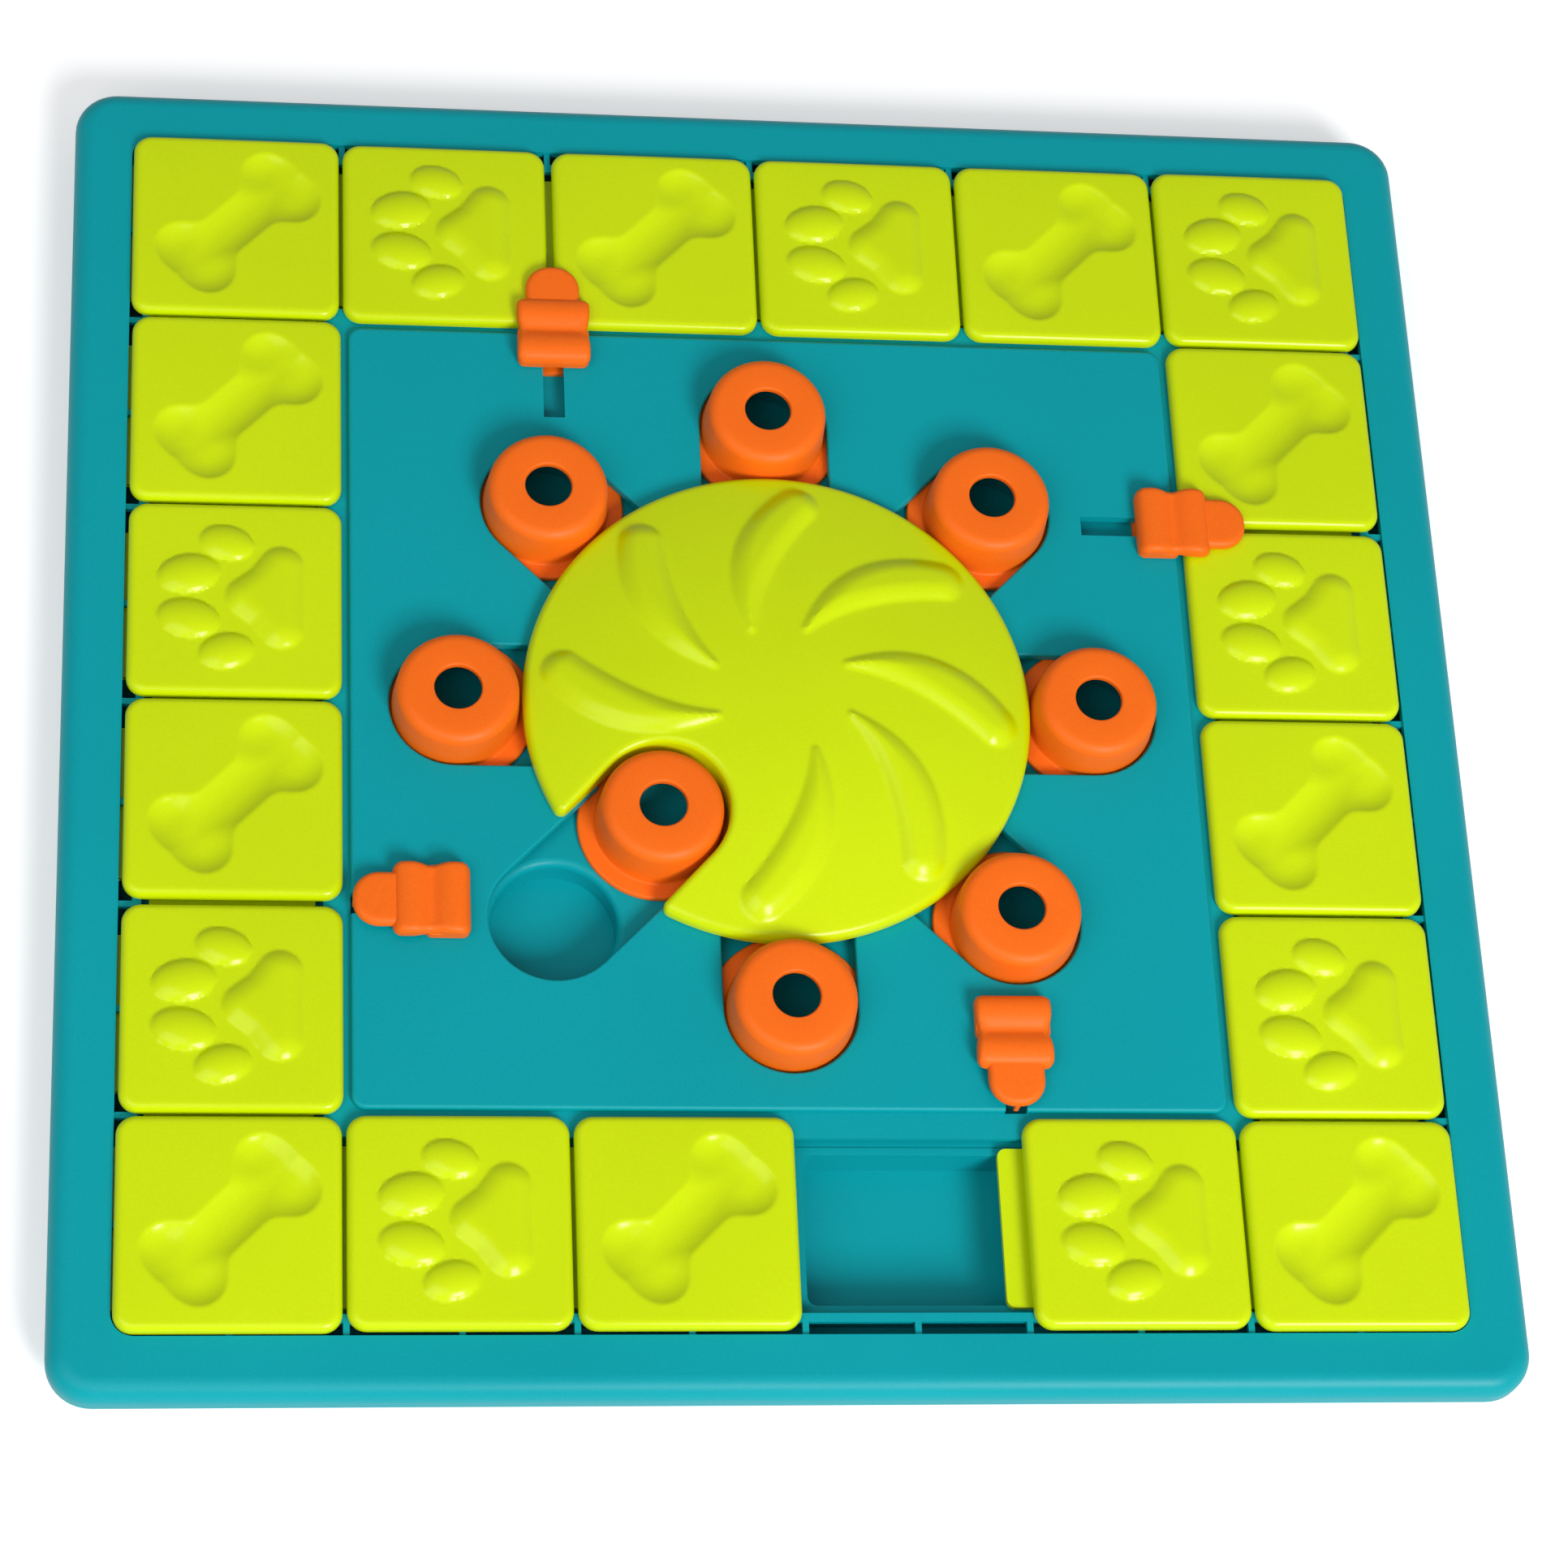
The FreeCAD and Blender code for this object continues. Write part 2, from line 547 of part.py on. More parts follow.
def paw():
    """Four toes and a pad, the toes on the left."""
    z = CAP_TOP - 0.5
    parts = []
    for x, y, half_length, half_width, degrees in PAW_TOES:
        ellipse = Part.Ellipse(FreeCAD.Vector(0, 0, z), half_length, half_width).toShape()
        toe = raised(Part.Face(Part.Wire(ellipse)))
        parts.append(moved(turned(toe, degrees), x, y))
        parts.append(moved(turned(toe, -degrees), x, -y))
    corners = [FreeCAD.Vector(x, y, z) for x, y in PAW_PAD]
    middle = Part.Face(Part.makePolygon(corners + corners[:1]))
    parts.append(raised(middle.makeOffset2D(PAW_PAD_R)))
    return parts


def tile_cap(with_bone):
    cap = square(CAP_HALF, CAP_CORNER_R, CAP_LOW, CAP_TOP)
    cap = cap.makeFillet(CAP_EDGE_R, edges_at(cap, CAP_TOP))
    cap = cap.cut(square(PEDESTAL_HALF + PEDESTAL_FIT, TONGUE_CORNER_R, CAP_LOW, CAP_TOP - CAP_TOP_WALL))
    if with_bone:
        deep = bone(0.0, CAP_TOP - BONE_DEPTH, CAP_TOP)
        shallow = bone(BONE_EDGE_WIDTH, CAP_TOP - BONE_EDGE_DEPTH, CAP_TOP)
        return cap.cut([deep, shallow])
    return joined([cap] + paw())


def tile_runner():
    """The sliding foot of a tile: a plate with a tongue towards -X and one towards +Y."""
    plate = square(RUNNER_HALF, TONGUE_CORNER_R, RUNNER_LOW, TONGUE_TOP)
    middle = TONGUE_REACH / 2
    left = rounded_block(middle, TONGUE_HALF_WIDTH, TONGUE_CORNER_R, RUNNER_LOW, TONGUE_TOP, -middle, 0.0)
    far = rounded_block(TONGUE_HALF_WIDTH, middle, TONGUE_CORNER_R, RUNNER_LOW, TONGUE_TOP, 0.0, middle)
    pedestal = square(PEDESTAL_HALF, TONGUE_CORNER_R, TONGUE_TOP, CAP_TOP - CAP_TOP_WALL)
    pocket_top = CAP_TOP - CAP_TOP_WALL - RUNNER_POCKET_ROOF
    pocket = square(RUNNER_POCKET_HALF, TONGUE_CORNER_R, RUNNER_LOW, pocket_top)
    return joined([plate, left, far, pedestal]).cut(pocket)


def latch(shift):
    """A latch that slides along +X, built beside the board's right side."""
    start = LATCH_INNER + shift
    grip_end = start + GRIP_LENGTH
    tip = COVER_HALF - LATCH_TIP_GAP + shift
    grip_top = LATCH_LOW + GRIP_HEIGHT
    middle = (start + grip_end) / 2
    grip = rounded_block(GRIP_LENGTH / 2, GRIP_HALF_WIDTH, GRIP_CORNER_R, LATCH_LOW, grip_top, middle, 0.0)
    grip = grip.makeFillet(GRIP_EDGE_R, edges_at(grip, grip_top))
    dip_axis = FreeCAD.Vector(middle, -GRIP_HALF_WIDTH * 2, grip_top + GRIP_DIP_R - GRIP_DIP)
    dip = Part.makeCylinder(GRIP_DIP_R, GRIP_HALF_WIDTH * 4, dip_axis, FreeCAD.Vector(0, 1, 0))
    grip = grip.cut(dip)
    sole_middle = start + SOLE_LENGTH / 2
    sole = rounded_block(SOLE_LENGTH / 2, GRIP_HALF_WIDTH, GRIP_CORNER_R, LATCH_SOLE, LATCH_LOW, sole_middle)
    reach = (tip - middle) / 2
    tongue = rounded_block(
        reach, LATCH_TONGUE_HALF, LATCH_TONGUE_END_R,
        LATCH_LOW, LATCH_LOW + LATCH_TONGUE_WALL, middle + reach, 0.0,
    )
    tongue = tongue.makeFillet(GRIP_EDGE_R, edges_at(tongue, LATCH_LOW + LATCH_TONGUE_WALL))
    stem_start = start + STEM_INSET
    stem_end = stem_start + STEM_LENGTH
    keeper_top = COVER_LOW - STEM_FIT
    stem = block(stem_start, -STEM_HALF_WIDTH, keeper_top, stem_end, STEM_HALF_WIDTH, LATCH_LOW)
    keeper = block(
        stem_start, -KEEPER_HALF_WIDTH, keeper_top - KEEPER_WALL, stem_end, KEEPER_HALF_WIDTH, keeper_top
    )
    fin = block(tip - FIN_LENGTH, -FIN_HALF_WIDTH, LATCH_LOW - FIN_DEPTH, tip, FIN_HALF_WIDTH, LATCH_LOW)
    return moved(joined([grip, sole, tongue, stem, keeper, fin]), 0.0, LATCH_OFFSET)


def all_parts():
    parts = {
        "base_tray": base_tray(),
        "rubber_feet": feet(),
        "peg_deck": peg_deck(),
        "centre_cover": centre_cover(),
        "top_frame": top_frame(),
        "cover_screws": cover_screws(),
        "wheel": wheel(),
        "hub_washer": hub_washer(),
        "hub_screw": hub_screw(),
    }
    one_peg = peg()
    for i, name in enumerate(("e", "ne", "n", "nw", "w", "sw", "s", "se")):
        angle = 360.0 / PEG_COUNT * i
        radius = PEG_IN_R if abs(angle - PEG_IN_ANGLE) < 1.0 else PEG_CIRCLE_R
        x, y = polar(radius, angle)
        parts[f"peg_{name}"] = moved(one_peg, x, y)
    for i, (name, shift) in enumerate((("e", LATCH_TRAVEL), ("n", LATCH_TRAVEL), ("w", 0.0), ("s", 0.0))):
        parts[f"latch_{name}"] = turned(latch(shift), 90.0 * i)
    caps = {True: tile_cap(True), False: tile_cap(False)}
    runner = tile_runner()
    for row, column, x, y in tile_places():
        parts[f"tile_r{row}c{column}_cap"] = moved(caps[has_bone(row, column)], x, y)
        parts[f"tile_r{row}c{column}_runner"] = moved(runner, x, y)
    return parts


def main():
    os.makedirs("parts", exist_ok=True)
    for name, shape in all_parts().items():
        if not shape.isValid():
            raise ValueError(f"{name} is not a valid shape")
        shape.exportStep(f"parts/{name}.step")


main()
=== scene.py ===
"""Looks of the dog puzzle feeder toy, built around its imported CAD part."""

import math

import bmesh
import bpy
import numpy as np
from bpy.props import FloatProperty, FloatVectorProperty, IntProperty, PointerProperty
from bpy.types import Operator, Panel, PropertyGroup
from mathutils import Matrix, Vector
from mathutils.geometry import delaunay_2d_cdt


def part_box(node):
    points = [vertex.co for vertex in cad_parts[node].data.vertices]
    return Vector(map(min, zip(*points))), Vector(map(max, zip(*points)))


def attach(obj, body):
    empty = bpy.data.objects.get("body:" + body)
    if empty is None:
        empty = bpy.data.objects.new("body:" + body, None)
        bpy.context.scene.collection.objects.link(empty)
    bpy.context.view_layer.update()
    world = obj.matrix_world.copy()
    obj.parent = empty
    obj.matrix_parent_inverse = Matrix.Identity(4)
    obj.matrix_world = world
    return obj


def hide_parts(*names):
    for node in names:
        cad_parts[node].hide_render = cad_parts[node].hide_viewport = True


bl_info = {
    "name": "Dog puzzle feeder toy",
    "version": (1, 0, 0),
    "blender": (4, 5, 0),
    "location": "3D View > Sidebar > Puzzle Feeder",
    "description": "Tiles, pegs, wheel, latches and finishes of a dog puzzle feeder toy",
    "category": "Object",
}

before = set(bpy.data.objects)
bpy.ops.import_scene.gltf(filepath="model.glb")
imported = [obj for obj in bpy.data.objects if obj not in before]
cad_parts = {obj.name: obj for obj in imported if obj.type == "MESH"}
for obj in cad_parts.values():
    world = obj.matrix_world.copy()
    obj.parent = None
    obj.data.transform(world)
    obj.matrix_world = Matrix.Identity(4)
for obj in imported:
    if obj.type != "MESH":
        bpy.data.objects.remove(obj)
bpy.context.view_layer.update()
MM = 0.001
SHARP_ANGLE = math.radians(35.0)
SLIDE_GAP = 0.3       # between the cover and what slides on it, mm
SCREW_COUNT = 8       # cover screws
TONGUE_REACH = 13.8   # how much further a runner reaches on its tongue's side than on the other, mm

LATCH_DIRECTIONS = {"latch_e": 0, "latch_n": 90, "latch_w": 180, "latch_s": 270}
TILE_NAMES = sorted(name[:-4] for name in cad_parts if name.endswith("_cap"))
PEG_NAMES = sorted(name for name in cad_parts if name.startswith("peg_") and name != "peg_deck")
BONE_PLACES = ("r1c1", "r1c3", "r1c5", "r2c1", "r4c1", "r2c6", "r4c6", "r6c1", "r6c3", "r6c6")

# The finger vanes of the wheel, for the place on +X: arcs by start, middle and end, in mm
VANE_ARCS = (
    ((19.6, 10.3), (48.8, 11.2), (70.8, -4.5)),
    ((70.8, -4.5), (70.4, -11.9), (64.0, -13.0)),
    ((64.0, -13.0), (43.2, 0.6), (19.2, 7.2)),
    ((19.2, 7.2), (18.1, 8.7), (19.6, 10.3)),
)
VANE_TURNS = (180, 135, 90, 45, 0, -45, -90)
VANE_POINTS = 14      # on each arc
VANE_MARGIN = 5.0     # round a vane's outline, where the dome is looked at again
VANE_SLOPE = 6.2      # from a vane's edge to its ridge
VANE_BROADER = 1.5    # how much its outer end is widened
VANE_DRAWN_IN = 0.035  # share by which its outer end is drawn in
WHEEL_TURN = 225.0    # the notch's direction, in degrees from +X

# The paw: middle x, y, half sizes and turn of each dome, in mm and degrees
PAW_TOES = (
    (-2.5, 17.8, 8.2, 5.7, -14),
    (-13.6, 7.3, 9.3, 6.4, 10),
    (-13.6, -7.3, 9.3, 6.4, -10),
    (-2.5, -17.8, 8.2, 5.7, 14),
)
PAW_PAD = ((3.7, 0.0), (9.3, 4.4), (13.5, 10.1), (13.3, 0.0), (13.5, -10.1), (9.3, -4.4))
PAW_PAD_RADIUS = 6.7
PAW_PAD_SLOPE = 6.6

# The bone: its middle, half lengths to the knobs' middles along and across it, and radii, in mm
BONE_MIDDLE = 0.6
BONE_ALONG = 18.3
BONE_ACROSS = 6.1
BONE_KNOB = 7.8
BONE_NECK = 7.3
BONE_BLEND = 5.0      # how softly the knobs go over into the neck
BONE_SLOPE = 7.2      # from the bone's edge to its deepest line

# The camera: the turn from the board to it as an axis times an angle, the board's middle as it
# sees it, and the height over the floor that both are given from, in mm
CAMERA_TURN = (2.70966, -0.02096, 0.20004)
CAMERA_SHIFT = (-3.677, -17.524, 1300.434)
CAMERA_LEVEL = 12.6


def millimetres(name, description, default, low=0.1, high=500.0):
    return FloatProperty(name=name, description=description, default=default, min=low, max=high)


def watts(name, description, default):
    return FloatProperty(name=name, description=description, default=default, min=0, max=500, unit="POWER")


def strength(name, description, default):
    return FloatProperty(name=name, description=description, default=default, min=0, max=5)


def colour(name, description, default):
    return FloatVectorProperty(
        name=name, description=description, default=default, size=3, subtype="COLOR", min=0.0, max=1.0
    )


def linear(red, green, blue):
    """Linear colour of an sRGB colour given from 0 to 255."""
    def channel(value):
        value /= 255.0
        return value / 12.92 if value <= 0.04045 else ((value + 0.055) / 1.055) ** 2.4
    return channel(red), channel(green), channel(blue)


class FeederColours(PropertyGroup):
    teal: colour("Teal", "Board, cover, deck and rim", linear(2, 158, 168))
    lime: colour("Lime", "Tiles and wheel", linear(208, 230, 2))
    orange: colour("Orange", "Pegs and latches", linear(255, 112, 18))
    rubber: colour("Feet", "Rubber feet", linear(38, 40, 42))
    steel: colour("Screws", "Steel of the screws", linear(190, 190, 192))
    washer: colour("Washer", "Plastic of the hub washer", linear(224, 224, 220))
    floor: colour("Floor", "Floor and backdrop", linear(250, 250, 250))


class TileSizes(PropertyGroup):
    corner: millimetres("Corner", "Radius of a cap's corners, mm", 5.5)
    edge: millimetres("Edge", "Radius along a cap's top edge, mm", 2.4)
    crown: millimetres("Crown", "How much a cap's middle stands over its edge, mm", 0.25, 0.0, 2.0)
    bone_depth: millimetres("Bone depth", "Depth of the sunk bone, mm", 2.4)
    paw_height: millimetres("Paw height", "Height of the paw's domes, mm", 2.5)
    side_wall: millimetres("Side wall", "Thickness of a cap's side walls, mm", 7.4)
    top_wall: millimetres("Top wall", "Thickness of a cap's top, mm", 3.4)
    spacing: millimetres("Spacing", "Distance of the mesh's points, mm", 0.8, 0.3, 3.0)


class WheelSizes(PropertyGroup):
    rim: millimetres("Rim", "Height of the wheel's rim, mm", 4.1)
    rise: millimetres("Rise", "How much the domed middle stands over the rim, mm", 10.0)
    axle: millimetres("Axle", "Radius of the axle, mm", 6.0)
    edge: millimetres("Edge", "Radius along the wheel's edges, mm", 2.2)
    tip: millimetres("Tip", "Radius of the notch's two corners, mm", 2.3)
    notch: millimetres("Notch", "Half the notch's width, mm", 19.85)
    notch_start: millimetres("Notch start", "From the axle to the middle of the notch's round end, mm", 51.4)
    vane_height: millimetres("Vane height", "Height of the finger vanes, mm", 2.7)
    spacing: millimetres("Spacing", "Distance of the mesh's points, mm", 1.0, 0.4, 4.0)


class PegSizes(PropertyGroup):
    foot: millimetres("Foot", "Radius of a peg just over its flange, mm", 19.0)
    top: millimetres("Top", "Radius of a peg at its top, mm", 17.8)
    flange: millimetres("Flange", "Thickness of a peg's flange, mm", 2.0)
    top_edge: millimetres("Top edge", "Radius along a peg's top, mm", 3.6)
    hole: millimetres("Hole", "Radius of the hole in a peg's top, mm", 7.0)
    wall: millimetres("Wall", "Thickness of a peg's wall, mm", 2.2)
    segments: IntProperty(name="Segments", description="Faces round a peg", default=96, min=24, max=256)


class LatchSizes(PropertyGroup):
    grip_length: millimetres("Grip length", "Length of the grip, mm", 22.4)
    grip_width: millimetres("Grip width", "Width of the grip, mm", 22.3)
    grip_height: millimetres("Grip height", "Height of the grip over the tongue's underside, mm", 4.6)
    waist: strength("Waist", "Share by which the grip's middle is drawn in", 0.07)
    edge: millimetres("Edge", "Radius along a latch's edges, mm", 1.9)
    dip: millimetres("Dip", "Depth of the valley across the grip, mm", 2.0)
    tongue_width: millimetres("Tongue width", "Width of the tongue, mm", 16.5)
    tongue_height: millimetres("Tongue height", "Thickness of the tongue, mm", 2.9)
    fin_width: millimetres("Fin width", "Thickness of the fin, mm", 1.5)
    fin_depth: millimetres("Fin depth", "How far the fin reaches down, mm", 3.9)
    tongue_end: millimetres("Tongue end", "Radius of the tongue's corners, mm", 7.6)


class StageSizes(PropertyGroup):
    lens: millimetres("Lens", "Focal length of the camera, mm", 99.694, 10.0, 300.0)
    key: watts("Key light", "Power of the large lamp, W", 51.0)
    fill: watts("Fill light", "Power of the wide lamp, W", 8.0)
    world: strength("World", "Strength of the even light all round", 0.34)
    backdrop: strength("Backdrop", "Own light of the floor, seen by the camera alone", 0.32)


# Outlines


def on_circle(x, y, radius, angles):
    """Points at some angles, in radians, on the circle round x, y."""
    return np.column_stack([x + radius * np.cos(angles), y + radius * np.sin(angles)])


def arc_points(start, middle, end, count):
    """Points on the circle through three points, from the first to the last, without the last."""
    ax, ay = start
    bx, by = middle
    cx, cy = end
    d = 2 * (ax * (by - cy) + bx * (cy - ay) + cx * (ay - by))
    ux = ((ax**2 + ay**2) * (by - cy) + (bx**2 + by**2) * (cy - ay) + (cx**2 + cy**2) * (ay - by)) / d
    uy = ((ax**2 + ay**2) * (cx - bx) + (bx**2 + by**2) * (ax - cx) + (cx**2 + cy**2) * (bx - ax)) / d
    radius = math.hypot(ax - ux, ay - uy)
    first = math.atan2(ay - uy, ax - ux)
    through = (math.atan2(by - uy, bx - ux) - first) % (2 * math.pi)
    last = (math.atan2(cy - uy, cx - ux) - first) % (2 * math.pi)
    if through > last:
        last -= 2 * math.pi
    return on_circle(ux, uy, radius, first + last * np.arange(count) / count)


def rounded_rectangle(half_x, half_y, radius, per_corner=8, per_side=10):
    """A function that gives the outline, counter-clockwise, moved inwards by a distance."""
    def outline(inward):
        hx, hy = half_x - inward, half_y - inward
        r = min(max(radius - inward, 0.05), hx - 0.01, hy - 0.01)
        points = []
        for turn, (sx, sy) in enumerate(((1, -1), (1, 1), (-1, 1), (-1, -1))):
            angles = np.radians(-90 + 90 * turn + 90 * np.arange(per_corner + 1) / per_corner)
            corner = on_circle(sx * (hx - r), sy * (hy - r), r, angles)
            nx, ny = ((1, 1), (-1, 1), (-1, -1), (1, -1))[turn]
            following = np.array([nx * (hx - r), ny * (hy - r)])
            out = np.array([math.cos(math.radians(90 * turn)), math.sin(math.radians(90 * turn))]) * r
            start, end = corner[-1], following + out
            steps = np.arange(1, per_side + 1)[:, None] / (per_side + 1)
            points += [corner, start + (end - start) * steps]
        return np.vstack(points)
    return outline


def notched_disc(radius, notch_half, notch_start, tip):
    """The wheel's outline with its notch on +X, moved inwards by a distance below the tip's radius."""
    centre_along = math.sqrt((radius - tip) ** 2 - (notch_half + tip) ** 2)
    touch = math.atan2(notch_half + tip, centre_along)

    def outline(inward):
        small = max(tip - inward, 0.02)
        half = notch_half + inward
        quarter = math.pi / 2
        along = np.linspace(centre_along, notch_start, 18)
        return np.vstack([
            on_circle(0.0, 0.0, radius - inward, np.linspace(touch, 4 * quarter - touch, 300)),
            on_circle(centre_along, -notch_half - tip, small, np.linspace(-touch, quarter, 12)[1:-1]),
            np.column_stack([along, np.full(18, -half)]),
            on_circle(notch_start, 0.0, half, np.linspace(3 * quarter, quarter, 60)[1:-1]),
            np.column_stack([along[::-1], np.full(18, half)]),
            on_circle(centre_along, notch_half + tip, small, np.linspace(-quarter, touch, 12)[1:-1]),
        ])
    return outline


def turned_points(points, degrees):
    c, s = math.cos(math.radians(degrees)), math.sin(math.radians(degrees))
    return points @ np.array([[c, s], [-s, c]])


def polygon_depth(points, polygon):
    """Signed distance of points from a closed polygon, positive inside."""
    nearest = np.full(len(points), 1e9)
    inside = np.zeros(len(points), bool)
    for a, b in zip(polygon, np.roll(polygon, -1, axis=0)):
        side = b - a
        t = np.clip(((points - a) @ side) / max(side @ side, 1e-12), 0, 1)
        nearest = np.minimum(nearest, np.hypot(*(points - a - t[:, None] * side).T))
        crosses = (a[1] > points[:, 1]) != (b[1] > points[:, 1])
        with np.errstate(divide="ignore", invalid="ignore"):
            x = a[0] + (points[:, 1] - a[1]) * side[0] / side[1]
        inside ^= crosses & (points[:, 0] < x)
    return np.where(inside, nearest, -nearest)


# Meshes


def ring_faces(first, second, count):
    return [(first + i, first + (i + 1) % count, second + (i + 1) % count, second + i) for i in range(count)]


def slab(outline, low, top, edge, spacing, underside=0.4, hollow=None):
    """Points and faces of a moulded plate, in mm: a wall, a rounded top edge and a shaped top.

    outline(d) is the plan moved inwards by d, top(points) the height there, underside the chamfer
    round the foot, and hollow, when it is given, the wall's thickness and the hollow's roof.
    """
    rings = []
    if hollow:
        wall, roof = hollow
        inner = outline(wall)
        rings.append(np.column_stack([inner, np.full(len(inner), roof)]))
        rings.append(np.column_stack([inner, np.full(len(inner), low)]))
    base = outline(underside)
    rings.append(np.column_stack([base, np.full(len(base), low)]))
    base = outline(0.0)
    rings.append(np.column_stack([base, np.full(len(base), low + underside)]))
    steps = 7
    for i in range(steps + 1):
        angle = math.pi / 2 * i / steps
        plan = outline(edge * (1 - math.cos(angle)))
        rings.append(np.column_stack([plan, top(plan) - edge * (1 - math.sin(angle))]))
    count = len(rings[0])
    faces = [tuple(range(count))[::-1]]
    for i in range(len(rings) - 1):
        faces += ring_faces(i * count, (i + 1) * count, count)
    last = rings[-1][:, :2]
    x0, y0 = last.min(axis=0)
    x1, y1 = last.max(axis=0)
    grid = []
    for row, y in enumerate(np.arange(y0, y1, spacing * 0.87)):
        shift = spacing / 2 if row % 2 else 0.0
        grid.append(np.array([(x, y) for x in np.arange(x0 + shift, x1, spacing)]).reshape(-1, 2))
    grid = np.vstack(grid)
    if len(grid):
        grid = grid[polygon_depth(grid, last) > spacing * 0.55]
    plan = [Vector(p) for p in last] + [Vector(p) for p in grid]
    border = [(i, (i + 1) % count) for i in range(count)]
    points, _, triangles, origin, _, _ = delaunay_2d_cdt(plan, border, [list(range(count))], 1, 1e-6)
    start = (len(rings) - 1) * count
    inner_points = np.array([tuple(p) for p in points])
    heights = top(inner_points)
    number = {}
    extra = []
    for i, sources in enumerate(origin):
        ring_sources = [s for s in sources if s < count]
        if ring_sources:
            number[i] = start + ring_sources[0]
        else:
            number[i] = len(rings) * count + len(extra)
            extra.append((inner_points[i][0], inner_points[i][1], heights[i]))
    faces += [tuple(number[i] for i in triangle) for triangle in triangles]
    return np.vstack(rings + [np.array(extra).reshape(-1, 3)]), faces


def joined_parts(*parts):
    """One list of points and faces out of several."""
    points, faces = [], []
    offset = 0
    for part_points, part_faces in parts:
        points.append(np.asarray(part_points, float))
        faces += [tuple(i + offset for i in face) for face in part_faces]
        offset += len(part_points)
    return np.vstack(points), faces


def drum(radius, low, high, chamfer=0.4, segments=48):
    """A short closed cylinder with chamfered ends, round the origin."""
    rings = []
    angles = 2 * math.pi * np.arange(segments) / segments
    inner = radius - chamfer
    for r, z in ((inner, low), (radius, low + chamfer), (radius, high - chamfer), (inner, high)):
        rings.append(np.column_stack([on_circle(0.0, 0.0, r, angles), np.full(segments, z)]))
    faces = [tuple(range(segments))[::-1], tuple(range(3 * segments, 4 * segments))]
    for i in range(3):
        faces += ring_faces(i * segments, (i + 1) * segments, segments)
    return np.vstack(rings), faces


def new_piece(name, part, material, turn=0.0, place=(0.0, 0.0)):
    """A mesh object at the origin from points in mm, turned and then put in its place."""
    points, faces = part
    points = np.array(points, float)
    points[:, :2] = turned_points(points[:, :2], turn) + np.array(place)
    mesh = bpy.data.meshes.new(name)
    mesh.from_pydata((points * MM).tolist(), [], faces)
    work = bmesh.new()
    work.from_mesh(mesh)
    bmesh.ops.recalc_face_normals(work, faces=work.faces)
    work.to_mesh(mesh)
    work.free()
    mesh.shade_smooth()
    mesh.set_sharp_from_angle(angle=SHARP_ANGLE)
    mesh.materials.append(material)
    piece = bpy.data.objects.new(name, mesh)
    bpy.context.collection.objects.link(piece)
    return piece


def stand_for(piece, node, body):
    """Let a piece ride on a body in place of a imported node."""
    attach(piece, body)
    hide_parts(node)


def node_box_mm(node):
    low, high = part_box(node)
    return np.array(low) / MM, np.array(high) / MM


def cover_top():
    return node_box_mm("centre_cover")[1][2]


def level(height):
    """The top of a flat slab."""
    return lambda points: np.full(len(points), height)


# Finishes


class Nodes:
    """Short way to add and join the nodes of a material or a geometry tree."""

    def __init__(self, tree):
        self.tree = tree

    def add(self, kind, settings=None, **inputs):
        node = self.tree.nodes.new(kind)
        for key, value in (settings or {}).items():
            setattr(node, key, value)
        for key, value in inputs.items():
            numbered = key[0] == "i" and key[1:].isdigit()
            socket = node.inputs[int(key[1:]) if numbered else key.replace("_", " ")]
            if isinstance(value, bpy.types.NodeSocket):
                self.tree.links.new(value, socket)
            else:
                socket.default_value = value
        return node

    def link(self, out, into):
        self.tree.links.new(out, into)

    def spread(self, value, low, high, least, most):
        """The value, which runs from low to high, spread from least to most."""
        return self.add("ShaderNodeMapRange", i0=value, i1=low, i2=high, i3=least, i4=most).outputs[0]

    def maths(self, operation, **inputs):
        return self.add("ShaderNodeMath", {"operation": operation}, **inputs).outputs[0]


def moulded_plastic(name, base, roughness, grain, speck, bump, specular):
    """Moulded plastic: faint drift of the colour, flow marks, fine grain and handling marks."""
    material = bpy.data.materials.new(name)
    material.use_nodes = True
    tree = Nodes(material.node_tree)
    shader = material.node_tree.nodes["Principled BSDF"]
    place = tree.add("ShaderNodeTexCoord").outputs["Object"]
    broad = tree.add("ShaderNodeTexNoise", Vector=place, Scale=9.0, Detail=3.0, Roughness=0.5).outputs["Fac"]
    fine = tree.add("ShaderNodeTexNoise", Vector=place, Scale=grain, Detail=2.0, Roughness=0.6).outputs["Fac"]
    peel = tree.add("ShaderNodeTexNoise", Vector=place, Scale=grain * 0.16, Detail=2.0, Roughness=0.5)
    hue = tree.spread(broad, 0.3, 0.7, 0.95, 1.02)
    dust = tree.spread(fine, 0.35, 0.75, 1.0 - speck, 1.0 + speck)
    shade = tree.maths("MULTIPLY", i0=hue, i1=dust)
    tint = tree.add("ShaderNodeVectorMath", {"operation": "SCALE"}, i0=base, Scale=shade)
    tree.link(tint.outputs[0], shader.inputs["Base Color"])
    marks = tree.add("ShaderNodeMapping", Vector=place, Rotation=(0.3, 0.2, 0.9), Scale=(60.0, 900.0, 60.0))
    rubbed = tree.add("ShaderNodeTexNoise", Vector=marks.outputs[0], Scale=1.0, Detail=4.0, Roughness=0.7)
    wear = tree.spread(rubbed.outputs["Fac"], 0.55, 0.8, 0.0, 0.06)
    cloud = tree.spread(broad, 0.3, 0.7, roughness - 0.03, roughness + 0.04)
    tree.link(tree.maths("ADD", i0=cloud, i1=wear), shader.inputs["Roughness"])
    height = tree.maths("MULTIPLY_ADD", i0=peel.outputs["Fac"], i1=2.5, i2=fine)
    relief = tree.add("ShaderNodeBump", Height=height, Strength=bump, Distance=0.0002)
    tree.link(relief.outputs[0], shader.inputs["Normal"])
    shader.inputs["Specular IOR Level"].default_value = specular
    return material


